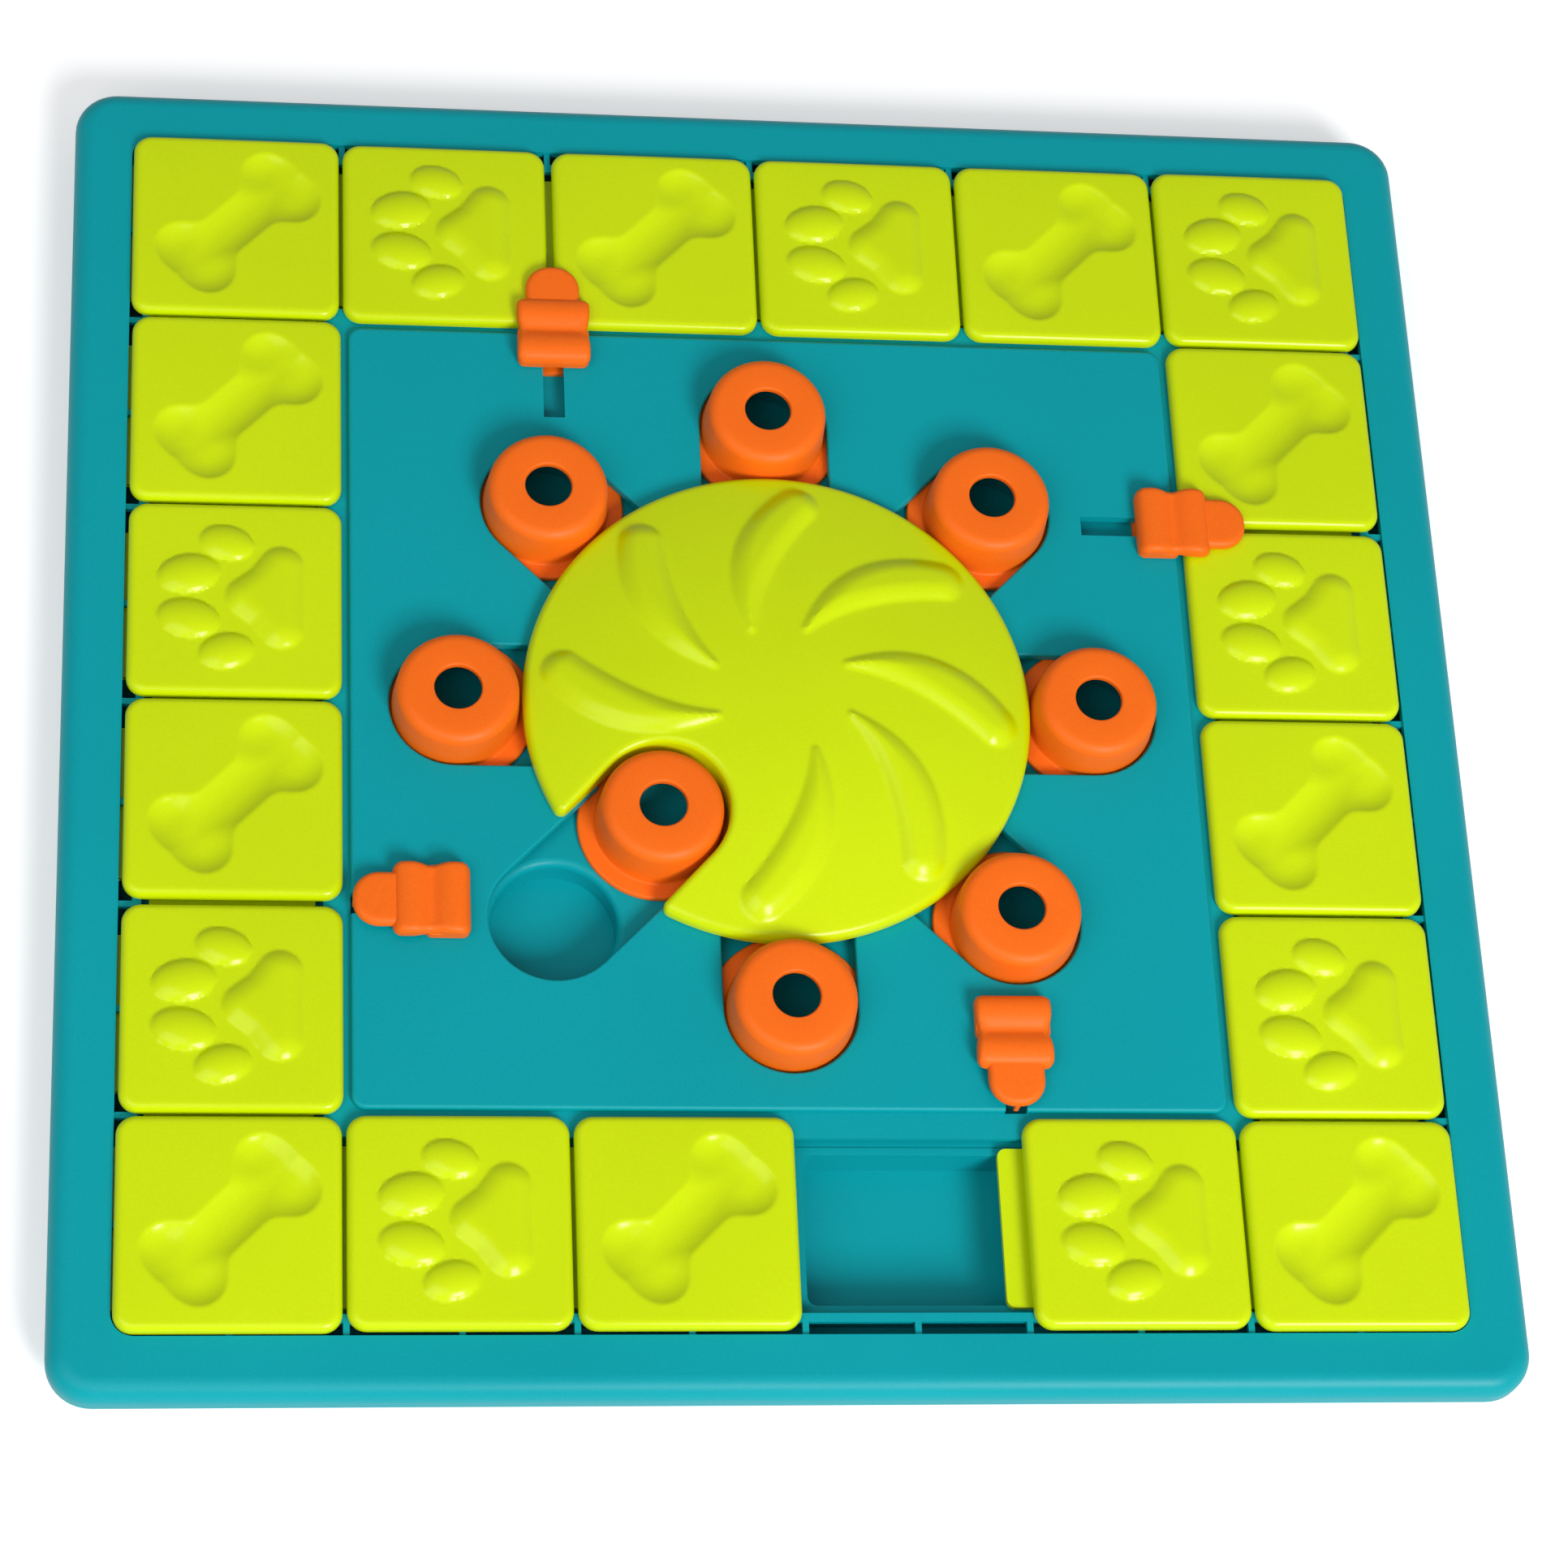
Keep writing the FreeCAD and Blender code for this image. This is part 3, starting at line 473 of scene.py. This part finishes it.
def turned_steel(name, base):
    material = moulded_plastic(name, base, 0.3, 2600.0, 0.06, 0.12, 0.5)
    material.node_tree.nodes["Principled BSDF"].inputs["Metallic"].default_value = 1.0
    return material


def floor_finish(base, own_light):
    """The floor's pale finish, with a little light of its own that only the camera sees."""
    material = bpy.data.materials.new("studio_floor")
    material.use_nodes = True
    tree = Nodes(material.node_tree)
    shader = material.node_tree.nodes["Principled BSDF"]
    shader.inputs["Base Color"].default_value = (*base, 1.0)
    shader.inputs["Roughness"].default_value = 0.9
    shader.inputs["Specular IOR Level"].default_value = 0.1
    seen = tree.add("ShaderNodeLightPath").outputs["Is Camera Ray"]
    glow = tree.add("ShaderNodeEmission", Color=(1, 1, 1, 1))
    tree.link(tree.maths("MULTIPLY", i0=seen, i1=own_light), glow.inputs["Strength"])
    both = tree.add("ShaderNodeAddShader")
    tree.link(shader.outputs[0], both.inputs[0])
    tree.link(glow.outputs[0], both.inputs[1])
    tree.link(both.outputs[0], material.node_tree.nodes["Material Output"].inputs["Surface"])
    return material


def finish_of(name):
    return bpy.data.materials[name]


def coat_node(node, material):
    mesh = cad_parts[node].data
    mesh.materials.clear()
    mesh.materials.append(material)


# Geometry nodes


def geometry_tree(name, inputs):
    """An empty geometry tree with one output, its nodes' helper and what its inputs give."""
    tree = bpy.data.node_groups.new(name, "GeometryNodeTree")
    for label, kind in inputs.items():
        tree.interface.new_socket(label, in_out="INPUT", socket_type="NodeSocket" + kind)
    tree.interface.new_socket("Geometry", in_out="OUTPUT", socket_type="NodeSocketGeometry")
    nodes = Nodes(tree)
    return tree, nodes, nodes.add("NodeGroupInput").outputs


def finish_tree(nodes, shape, material):
    """Make the shape real, give it its material and hand it out."""
    solid = nodes.add("GeometryNodeRealizeInstances", Geometry=shape).outputs["Geometry"]
    done = nodes.add("GeometryNodeSetMaterial", Geometry=solid, Material=material)
    nodes.link(done.outputs["Geometry"], nodes.add("NodeGroupOutput").inputs["Geometry"])


def sweep_tree():
    """A closed profile carried round a circle: radial distance and height, as one solid ring."""
    inputs = {"Profile": "Object", "Circle Radius": "Float", "Segments": "Int", "Material": "Material"}
    tree, nodes, given = geometry_tree("turned_ring", inputs)
    circle = nodes.add(
        "GeometryNodeCurvePrimitiveCircle", Radius=given["Circle Radius"], Resolution=given["Segments"]
    ).outputs["Curve"]
    profile = nodes.add("GeometryNodeObjectInfo", Object=given["Profile"]).outputs["Geometry"]
    ring = nodes.add("GeometryNodeCurveToMesh", Curve=circle, Profile_Curve=profile)
    finish_tree(nodes, ring.outputs["Mesh"], given["Material"])
    return tree


def copies_tree():
    """Copies of one object, one standing on every point of a mesh."""
    inputs = {"Geometry": "Geometry", "Piece": "Object", "Turn Step": "Float", "Material": "Material"}
    tree, nodes, given = geometry_tree("copies_on_points", inputs)
    piece = nodes.add("GeometryNodeObjectInfo", Object=given["Piece"])
    index = nodes.add("GeometryNodeInputIndex")
    turn = nodes.maths("MULTIPLY", i0=index.outputs[0], i1=given["Turn Step"])
    angles = nodes.add("ShaderNodeCombineXYZ", Z=turn)
    copies = nodes.add(
        "GeometryNodeInstanceOnPoints", Points=given["Geometry"], Instance=piece.outputs["Geometry"],
        Rotation=angles.outputs[0],
    )
    finish_tree(nodes, copies.outputs["Instances"], given["Material"])
    return tree


def run_tree(name, tree, base, values):
    """A plain mesh object from a geometry tree, with the tree's inputs set by name."""
    holder = bpy.data.objects.new(name + "_holder", base)
    bpy.context.collection.objects.link(holder)
    modifier = holder.modifiers.new("shape", "NODES")
    modifier.node_group = tree
    for item in tree.interface.items_tree:
        if item.in_out == "INPUT" and item.name in values:
            modifier[item.identifier] = values[item.name]
    shaped = holder.evaluated_get(bpy.context.evaluated_depsgraph_get())
    mesh = bpy.data.meshes.new_from_object(shaped)
    holder.modifiers.clear()
    bpy.data.objects.remove(holder)
    work = bmesh.new()
    work.from_mesh(mesh)
    bmesh.ops.remove_doubles(work, verts=work.verts, dist=1e-7)
    bmesh.ops.recalc_face_normals(work, faces=work.faces)
    work.to_mesh(mesh)
    work.free()
    mesh.name = name
    mesh.shade_smooth()
    mesh.set_sharp_from_angle(angle=SHARP_ANGLE)
    piece = bpy.data.objects.new(name, mesh)
    bpy.context.collection.objects.link(piece)
    return piece


def turned_ring(name, tree, profile, circle, segments, finish):
    """A plain mesh object: a profile, drawn from a circle's radius in mm, carried round it."""
    values = {
        "Profile": profile, "Circle Radius": circle * MM, "Segments": segments, "Material": finish_of(finish),
    }
    return run_tree(name, tree, bpy.data.meshes.new(name + "_base"), values)


def rounded_path(corners, steps=6):
    """Points of a closed outline given as x, y and corner radius."""
    points = []
    count = len(corners)
    for i, (x, y, radius) in enumerate(corners):
        here = np.array([x, y])
        if radius <= 0:
            points.append(here)
            continue
        before = np.array(corners[i - 1][:2]) - here
        after = np.array(corners[(i + 1) % count][:2]) - here
        before /= np.hypot(*before)
        after /= np.hypot(*after)
        half = math.acos(np.clip(before @ after, -1, 1)) / 2
        start = here + before * radius / math.tan(half)
        end = here + after * radius / math.tan(half)
        bisector = before + after
        bisector /= np.hypot(*bisector)
        centre = here + bisector * radius / math.sin(half)
        a0 = math.atan2(*(start - centre)[::-1])
        a1 = math.atan2(*(end - centre)[::-1])
        sweep = (a1 - a0 + math.pi) % (2 * math.pi) - math.pi
        for step in range(steps + 1):
            angle = a0 + sweep * step / steps
            points.append(centre + radius * np.array([math.cos(angle), math.sin(angle)]))
    return np.array(points)


def profile_curve(name, points, circle_radius):
    """A closed poly curve whose X is the distance outside the circle and whose -Y is the height."""
    curve = bpy.data.curves.new(name, "CURVE")
    curve.dimensions = "2D"
    line = curve.splines.new("POLY")
    line.points.add(len(points) - 1)
    for point, (radius, height) in zip(line.points, points):
        point.co = ((radius - circle_radius) * MM, -height * MM, 0.0, 1.0)
    line.use_cyclic_u = True
    holder = bpy.data.objects.new(name, curve)
    bpy.context.collection.objects.link(holder)
    return holder


# Operators


class FEEDER_OT_finishes(Operator):
    """Make every finish: three moulded plastics, washer plastic, steel and rubber"""

    bl_idname = "feeder.finishes"
    bl_label = "Finishes"

    def execute(self, context):
        colours = context.scene.feeder_colours
        for name, base, roughness, grain, speck, bump, specular in (
            ("teal_plastic", colours.teal, 0.40, 1500.0, 0.035, 0.10, 0.18),
            ("lime_plastic", colours.lime, 0.22, 1300.0, 0.020, 0.04, 0.28),
            ("orange_plastic", colours.orange, 0.46, 1900.0, 0.050, 0.16, 0.25),
            ("washer_plastic", colours.washer, 0.40, 1500.0, 0.035, 0.12, 0.50),
            ("foot_rubber", colours.rubber, 0.75, 1800.0, 0.035, 0.40, 0.30),
        ):
            moulded_plastic(name, tuple(base), roughness, grain, speck, bump, specular)
        turned_steel("screw_steel", tuple(colours.steel))
        return {"FINISHED"}


class FEEDER_OT_board(Operator):
    """Finish the tray, the deck, the cover, the rim and the wheel's washer"""

    bl_idname = "feeder.board"
    bl_label = "Board"

    def execute(self, context):
        for node in ("base_tray", "peg_deck", "centre_cover", "top_frame"):
            coat_node(node, finish_of("teal_plastic"))
        coat_node("hub_washer", finish_of("washer_plastic"))
        return {"FINISHED"}


def bone_depth(points):
    """Signed distance from the bone's outline, positive inside, smoothly joined."""
    turned = turned_points(points - BONE_MIDDLE, -45.0)
    x, y = np.abs(turned).T
    neck = BONE_NECK - np.hypot(np.maximum(x - BONE_ALONG, 0), y)
    knob = BONE_KNOB - np.hypot(x - BONE_ALONG, y - BONE_ACROSS)
    blend = np.clip(0.5 + 0.5 * (knob - neck) / BONE_BLEND, 0, 1)
    return neck * (1 - blend) + knob * blend + BONE_BLEND * blend * (1 - blend)


def paw_rise(points):
    """Height of the paw's domes, from 0 to 1."""
    rise = np.zeros(len(points))
    for x, y, half_x, half_y, turn in PAW_TOES:
        local = turned_points(points - np.array([x, y]), -turn) / np.array([half_x, half_y])
        inside = np.clip(1 - (local**2).sum(axis=1), 0, 1)
        rise = np.maximum(rise, inside**0.66 * (0.9 if abs(y) > 12 else 1.0))
    depth = PAW_PAD_RADIUS + polygon_depth(points, np.array(PAW_PAD))
    inside = np.clip(depth / PAW_PAD_SLOPE, 0, 1)
    return np.maximum(rise, (1 - (1 - inside) ** 2) ** 0.9)


def smooth_step(value):
    value = np.clip(value, 0, 1)
    return value * value * (3 - 2 * value)


class FEEDER_OT_tiles(Operator):
    """Make the tile caps with their bones and paws, and finish the runners under them"""

    bl_idname = "feeder.tiles"
    bl_label = "Tiles"

    def execute(self, context):
        sizes = context.scene.feeder_tiles
        low, high = node_box_mm("tile_r1c1_cap")
        half = (high[0] - low[0]) / 2
        base, top = low[2], high[2]
        outline = rounded_rectangle(half, half, sizes.corner)

        def crown(points):
            edge = np.abs(points) / half
            return top - sizes.crown * (edge**4).sum(axis=1)

        def bone_top(points):
            depth = bone_depth(points)
            bowl = 1 - (1 - np.clip((depth + 0.3) / BONE_SLOPE, 0, 1)) ** 2
            return crown(points) - sizes.bone_depth * bowl * smooth_step((depth + 0.9) / 1.6)

        def paw_top(points):
            return crown(points) + sizes.paw_height * paw_rise(points)

        hollow = (sizes.side_wall, top - sizes.top_wall)
        bone_cap = slab(outline, base, bone_top, sizes.edge, sizes.spacing, hollow=hollow)
        paw_cap = slab(outline, base, paw_top, sizes.edge, sizes.spacing, hollow=hollow)
        for tile in TILE_NAMES:
            low, high = node_box_mm(tile + "_runner")
            middle = ((low + high) / 2)[:2] + np.array([TONGUE_REACH, -TONGUE_REACH]) / 2
            part = bone_cap if tile.split("_")[1] in BONE_PLACES else paw_cap
            cap = new_piece(tile + "_top", part, finish_of("lime_plastic"), place=middle)
            stand_for(cap, tile + "_cap", tile)
            coat_node(tile + "_runner", finish_of("lime_plastic"))
        return {"FINISHED"}


class FEEDER_OT_wheel(Operator):
    """Make the domed wheel with its notch and finger vanes"""

    bl_idname = "feeder.wheel"
    bl_label = "Wheel"

    def execute(self, context):
        sizes = context.scene.feeder_wheel
        low, high = node_box_mm("wheel")
        radius = high[0]
        under = cover_top() + SLIDE_GAP
        rim = under + sizes.rim
        ball = (radius**2 + sizes.rise**2) / (2 * sizes.rise)
        vane = np.vstack([arc_points(*arc, VANE_POINTS) for arc in VANE_ARCS])
        vane_low = vane.min(axis=0) - VANE_MARGIN
        vane_high = vane.max(axis=0) + VANE_MARGIN

        def dome(points):
            away = np.minimum((points**2).sum(axis=1), radius**2)
            return rim + sizes.rise - ball + np.sqrt(ball**2 - away)

        def top(points):
            height = dome(points)
            for turn in VANE_TURNS:
                local = turned_points(points, WHEEL_TURN - turn)
                near = ((local > vane_low) & (local < vane_high)).all(axis=1)
                away = np.hypot(*local[near].T)
                drawn_in = 1 + VANE_DRAWN_IN * smooth_step((away - 30) / 35)
                depth = polygon_depth(local[near] * drawn_in[:, None], vane)
                depth += 0.2 + VANE_BROADER * smooth_step((away - 20) / 36)
                swell = np.sin(np.clip(depth / VANE_SLOPE, 0, 1) * math.pi / 2)
                height[near] += sizes.vane_height * swell * smooth_step((depth + 0.4) / 1.6)
            return height

        outline = notched_disc(radius, sizes.notch, sizes.notch_start, sizes.tip)
        disc = slab(outline, under, top, sizes.edge, sizes.spacing)
        axle = drum(sizes.axle, low[2], under + 1.0)
        part = joined_parts(disc, axle)
        wheel = new_piece("wheel_top", part, finish_of("lime_plastic"), turn=WHEEL_TURN)
        stand_for(wheel, "wheel", "wheel")
        return {"FINISHED"}


class FEEDER_OT_pegs(Operator):
    """Make the hollow pegs, each turned as one ring on its flange"""

    bl_idname = "feeder.pegs"
    bl_label = "Pegs"

    def execute(self, context):
        sizes = context.scene.feeder_pegs
        circle = 12.0
        low, high = node_box_mm("peg_n")
        flange = (high[0] - low[0]) / 2
        base, top = low[2], high[2]
        shoulder = base + sizes.flange
        hole, wall = sizes.hole, sizes.wall
        outline = rounded_path((
            (sizes.foot - wall, base, 0.3), (flange, base, 0.4), (flange, shoulder, 0.8),
            (sizes.foot, shoulder, 0.9), (sizes.top, top, sizes.top_edge), (hole, top, 0.7),
            (hole, top - wall, 0.4), (sizes.top - wall, top - wall, 0.8),
        ))
        profile = profile_curve("peg_profile", outline, circle)
        master = turned_ring("peg_master", sweep_tree(), profile, circle, sizes.segments, "orange_plastic")
        for name in PEG_NAMES:
            low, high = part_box(name)
            peg = bpy.data.objects.new(name + "_ring", master.data.copy())
            peg.data.transform(Matrix.Translation(((low[0] + high[0]) / 2, (low[1] + high[1]) / 2, 0)))
            bpy.context.collection.objects.link(peg)
            stand_for(peg, name, name)
        bpy.data.objects.remove(master)
        bpy.data.objects.remove(profile)
        return {"FINISHED"}


class FEEDER_OT_latches(Operator):
    """Make the latches: a grip with two humps, a round-ended tongue, a fin, a stem and a keeper"""

    bl_idname = "feeder.latches"
    bl_label = "Latches"

    def execute(self, context):
        sizes = context.scene.feeder_latches
        low, high = node_box_mm("latch_e")
        bottom, top = low[2], high[2]
        sole_low = cover_top() + SLIDE_GAP
        under = top - sizes.grip_height
        inside = under + 1.0
        length = high[0] - low[0]
        grip_half = sizes.grip_length / 2

        def grip_top(points):
            x = np.hypot(points[:, 0] - grip_half, 1.3)
            return top - 0.1 - sizes.dip * (np.abs(x - 6.2) / 5.0) ** 2.2

        grip_plan = rounded_rectangle(grip_half, sizes.grip_width / 2, 2.6, 7, 8)

        def grip_outline(inward):
            points = grip_plan(inward)
            waist = 1 - sizes.waist * np.exp(-((points[:, 0] / 3.2) ** 2))
            return np.column_stack([points[:, 0] + grip_half, points[:, 1] * waist])

        def bar(middle, plan, low, high, edge, spacing, underside):
            """A plain bar of the latch, with its middle at a distance from the grip's free end."""
            points, faces = slab(plan, low, level(high), edge, spacing, underside)
            points[:, 0] += middle
            return points, faces

        tongue_half = (length - grip_half) / 2
        tongue_plan = rounded_rectangle(tongue_half, sizes.tongue_width / 2, sizes.tongue_end, 12, 4)
        sole_plan = rounded_rectangle(6.5, 10.9, 2.2)
        fin_plan = rounded_rectangle(6.9, sizes.fin_width / 2, 0.3, 3, 6)
        stem_plan = rounded_rectangle(3.5, 3.0, 0.3, 3, 4)
        keeper_plan = rounded_rectangle(6.0, 7.0, 0.3, 3, 4)
        part = joined_parts(
            slab(grip_outline, under, grip_top, sizes.edge, 0.8),
            bar(length - tongue_half, tongue_plan, under, under + sizes.tongue_height, sizes.edge, 1.4, 0.4),
            bar(6.65, sole_plan, sole_low, inside, 0.2, 3.0, 0.4),
            bar(length - 6.95, fin_plan, under - sizes.fin_depth, inside, 0.1, 2.0, 0.2),
            bar(8.8, stem_plan, bottom + 1.0, sole_low + 1.0, 0.1, 2.0, 0.1),
            bar(6.3, keeper_plan, bottom, bottom + 2.0, 0.2, 2.0, 0.2),
        )
        for name, turn in LATCH_DIRECTIONS.items():
            low, high = node_box_mm(name)
            along = np.array([math.cos(math.radians(turn)), math.sin(math.radians(turn))])
            middle = ((low + high) / 2)[:2]
            start = middle - along * length / 2
            latch = new_piece(name + "_grip", part, finish_of("orange_plastic"), turn=turn, place=start)
            stand_for(latch, name, name)
        return {"FINISHED"}


class FEEDER_OT_underside(Operator):
    """Make the screws with their driver crosses, and the rubber feet with their grip rings"""

    bl_idname = "feeder.underside"
    bl_label = "Screws and feet"

    def execute(self, context):
        low, high = node_box_mm("cover_screws")
        angles = 2 * math.pi * (np.arange(SCREW_COUNT) + 0.5) / SCREW_COUNT
        spots = on_circle(0.0, 0.0, self.screw_circle(), angles)
        screw = self.screw_master(low[2], high[2])
        tree = copies_tree()
        piece = self.copies("cover_screw_set", tree, screw, spots, 0.7, "screw_steel")
        stand_for(piece, "cover_screws", "board")
        bpy.data.objects.remove(screw)
        low, high = node_box_mm("hub_screw")
        hub = self.screw_master(low[2], high[2])
        hub.name = "hub_screw_cross"
        hub.data.materials.append(finish_of("screw_steel"))
        stand_for(hub, "hub_screw", "wheel")
        self.feet(tree)
        return {"FINISHED"}

    def copies(self, name, tree, piece, spots, turn_step, finish):
        """Copies of a piece on spots given in mm, each turned a step further than the last."""
        holder = bpy.data.meshes.new(name + "_places")
        holder.from_pydata([(x * MM, y * MM, 0) for x, y in spots], [], [])
        values = {"Piece": piece, "Turn Step": turn_step, "Material": finish_of(finish)}
        return run_tree(name, tree, holder, values)

    def screw_circle(self):
        """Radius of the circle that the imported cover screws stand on."""
        points = np.array([v.co[:2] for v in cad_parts["cover_screws"].data.vertices])
        angle = np.degrees(np.arctan2(points[:, 1], points[:, 0]))
        one = points[(angle > 0) & (angle < 45)]
        middle = (one.min(axis=0) + one.max(axis=0)) / 2
        return float(np.hypot(*middle)) / MM

    def screw_master(self, low, high):
        """A pan-head screw, head down, with a cross recess in its head."""
        head, shank, head_top = 3.0, 1.2, low + 1.2
        outline = rounded_path((
            (0.02, low + 0.05, 0), (head, low, 0.45), (head, head_top, 0.1), (shank, head_top, 0.1),
            (shank, high - 1.0, 0), (0.4, high, 0), (0.02, high, 0),
        ), 4)
        count = 32
        angles = 2 * math.pi * np.arange(count) / count
        rings = [np.column_stack([on_circle(0.0, 0.0, r, angles), np.full(count, z)]) for r, z in outline]
        faces = [tuple(range(count))[::-1], tuple(range((len(rings) - 1) * count, len(rings) * count))]
        for i in range(len(rings) - 1):
            faces += ring_faces(i * count, (i + 1) * count, count)
        screw = new_piece("screw_master", (np.vstack(rings), faces), finish_of("screw_steel"))
        screw.data.materials.clear()
        cross = joined_parts(*(
            slab(rounded_rectangle(*half, 0.1, 2, 2), low - 1.0, level(low + 0.7), 0.05, 3.0, 0.05)
            for half in ((1.7, 0.35), (0.35, 1.7))
        ))
        cutter = new_piece("cross_master", cross, finish_of("screw_steel"))
        cutter.data.materials.clear()
        cut = screw.modifiers.new("cross", "BOOLEAN")
        cut.operation = "DIFFERENCE"
        cut.solver = "EXACT"
        cut.use_self = True
        cut.object = cutter
        mesh = bpy.data.meshes.new_from_object(screw.evaluated_get(bpy.context.evaluated_depsgraph_get()))
        screw.modifiers.clear()
        screw.data = mesh
        bpy.data.objects.remove(cutter)
        return screw

    def feet(self, tree):
        low, high = node_box_mm("rubber_feet")
        circle, reach = 4.5, 9.0
        top, sole, groove = high[2], low[2] + 0.1, low[2] + 0.6
        corners = [(0.05, sole, 0)]
        for i in range(4):
            start = 1.2 + i * 1.9
            corners += [(start, sole, 0), (start + 0.3, groove, 0)]
            corners += [(start + 0.8, groove, 0), (start + 1.1, sole, 0)]
        corners += [(reach, low[2], 0.5), (reach, top, 0.1), (0.05, top, 0)]
        profile = profile_curve("foot_profile", rounded_path(corners, 3), circle)
        ring_tree = bpy.data.node_groups["turned_ring"]
        foot = turned_ring("foot_master", ring_tree, profile, circle, 48, "foot_rubber")
        side = high[0] - reach
        spots = [(x * side, y * side) for x in (-1, 0, 1) for y in (-1, 0, 1) if x or y]
        piece = self.copies("rubber_foot_set", tree, foot, spots, 0.0, "foot_rubber")
        stand_for(piece, "rubber_feet", "board")
        bpy.data.objects.remove(foot)
        bpy.data.objects.remove(profile)


class FEEDER_OT_stage(Operator):
    """Set the pale floor, the soft lamps, the even light and the camera"""

    bl_idname = "feeder.stage"
    bl_label = "Stage"

    def execute(self, context):
        scene = context.scene
        sizes = scene.feeder_stage
        floor_mesh = bpy.data.meshes.new("studio_floor")
        reach = 8.0  # metres
        corners = [(x * reach, y * reach, 0) for x, y in ((-1, -1), (1, -1), (1, 1), (-1, 1))]
        floor_mesh.from_pydata(corners, [], [(0, 1, 2, 3)])
        floor_mesh.materials.append(floor_finish(tuple(scene.feeder_colours.floor), sizes.backdrop))
        floor = bpy.data.objects.new("studio_floor", floor_mesh)
        bpy.context.collection.objects.link(floor)

        self.lamp("key_lamp", (0.80, -1.90, 1.65), sizes.key, 0.87)
        self.lamp("fill_lamp", (-0.75, -0.75, 1.35), sizes.fill, 1.2)

        world = bpy.data.worlds.new("even_light")
        scene.world = world
        world.use_nodes = True
        shade = world.node_tree.nodes["Background"]
        shade.inputs["Color"].default_value = (0.95, 0.97, 1.0, 1.0)
        shade.inputs["Strength"].default_value = sizes.world

        camera = bpy.data.cameras.new("camera")
        camera.sensor_width = 36.0
        camera.lens = sizes.lens
        camera.clip_end = 30.0
        view = bpy.data.objects.new("camera", camera)
        bpy.context.collection.objects.link(view)
        turn = Vector(CAMERA_TURN)
        to_camera = Matrix.Rotation(turn.length, 3, turn.normalized())
        place = -(to_camera.transposed() @ Vector(CAMERA_SHIFT)) + Vector((0, 0, CAMERA_LEVEL))
        right, down, forward = to_camera
        view.matrix_world = Matrix((
            (right.x, -down.x, -forward.x, place.x * MM),
            (right.y, -down.y, -forward.y, place.y * MM),
            (right.z, -down.z, -forward.z, place.z * MM),
            (0, 0, 0, 1),
        ))
        scene.camera = view
        scene.view_settings.view_transform = "Standard"
        return {"FINISHED"}

    def lamp(self, name, place, power, size):
        light = bpy.data.lights.new(name, "AREA")
        light.energy = power
        light.size = size
        holder = bpy.data.objects.new(name, light)
        holder.location = place
        holder.rotation_euler = (-Vector(place)).to_track_quat("-Z", "Y").to_euler()
        bpy.context.collection.objects.link(holder)


class FEEDER_PT_panel(Panel):
    bl_label = "Puzzle Feeder"
    bl_idname = "FEEDER_PT_panel"
    bl_space_type = "VIEW_3D"
    bl_region_type = "UI"
    bl_category = "Puzzle Feeder"

    def draw(self, context):
        layout = self.layout
        for group_name in GROUPS:
            group = getattr(context.scene, group_name)
            box = layout.box()
            for prop in group.bl_rna.properties:
                if prop.identifier not in ("rna_type", "name"):
                    box.prop(group, prop.identifier)
        for operator in OPERATORS:
            layout.operator(operator.bl_idname)


GROUPS = {
    "feeder_colours": FeederColours,
    "feeder_tiles": TileSizes,
    "feeder_wheel": WheelSizes,
    "feeder_pegs": PegSizes,
    "feeder_latches": LatchSizes,
    "feeder_stage": StageSizes,
}
OPERATORS = (
    FEEDER_OT_finishes,
    FEEDER_OT_board,
    FEEDER_OT_tiles,
    FEEDER_OT_wheel,
    FEEDER_OT_pegs,
    FEEDER_OT_latches,
    FEEDER_OT_underside,
    FEEDER_OT_stage,
)
CLASSES = tuple(GROUPS.values()) + OPERATORS + (FEEDER_PT_panel,)


def register():
    for cls in CLASSES:
        bpy.utils.register_class(cls)
    for name, group in GROUPS.items():
        setattr(bpy.types.Scene, name, PointerProperty(type=group))


def unregister():
    for name in GROUPS:
        delattr(bpy.types.Scene, name)
    for cls in reversed(CLASSES):
        bpy.utils.unregister_class(cls)


def main():
    register()
    bpy.ops.feeder.finishes()
    bpy.ops.feeder.board()
    bpy.ops.feeder.tiles()
    bpy.ops.feeder.wheel()
    bpy.ops.feeder.pegs()
    bpy.ops.feeder.latches()
    bpy.ops.feeder.underside()
    bpy.ops.feeder.stage()


if __name__ == "__main__":
    main()
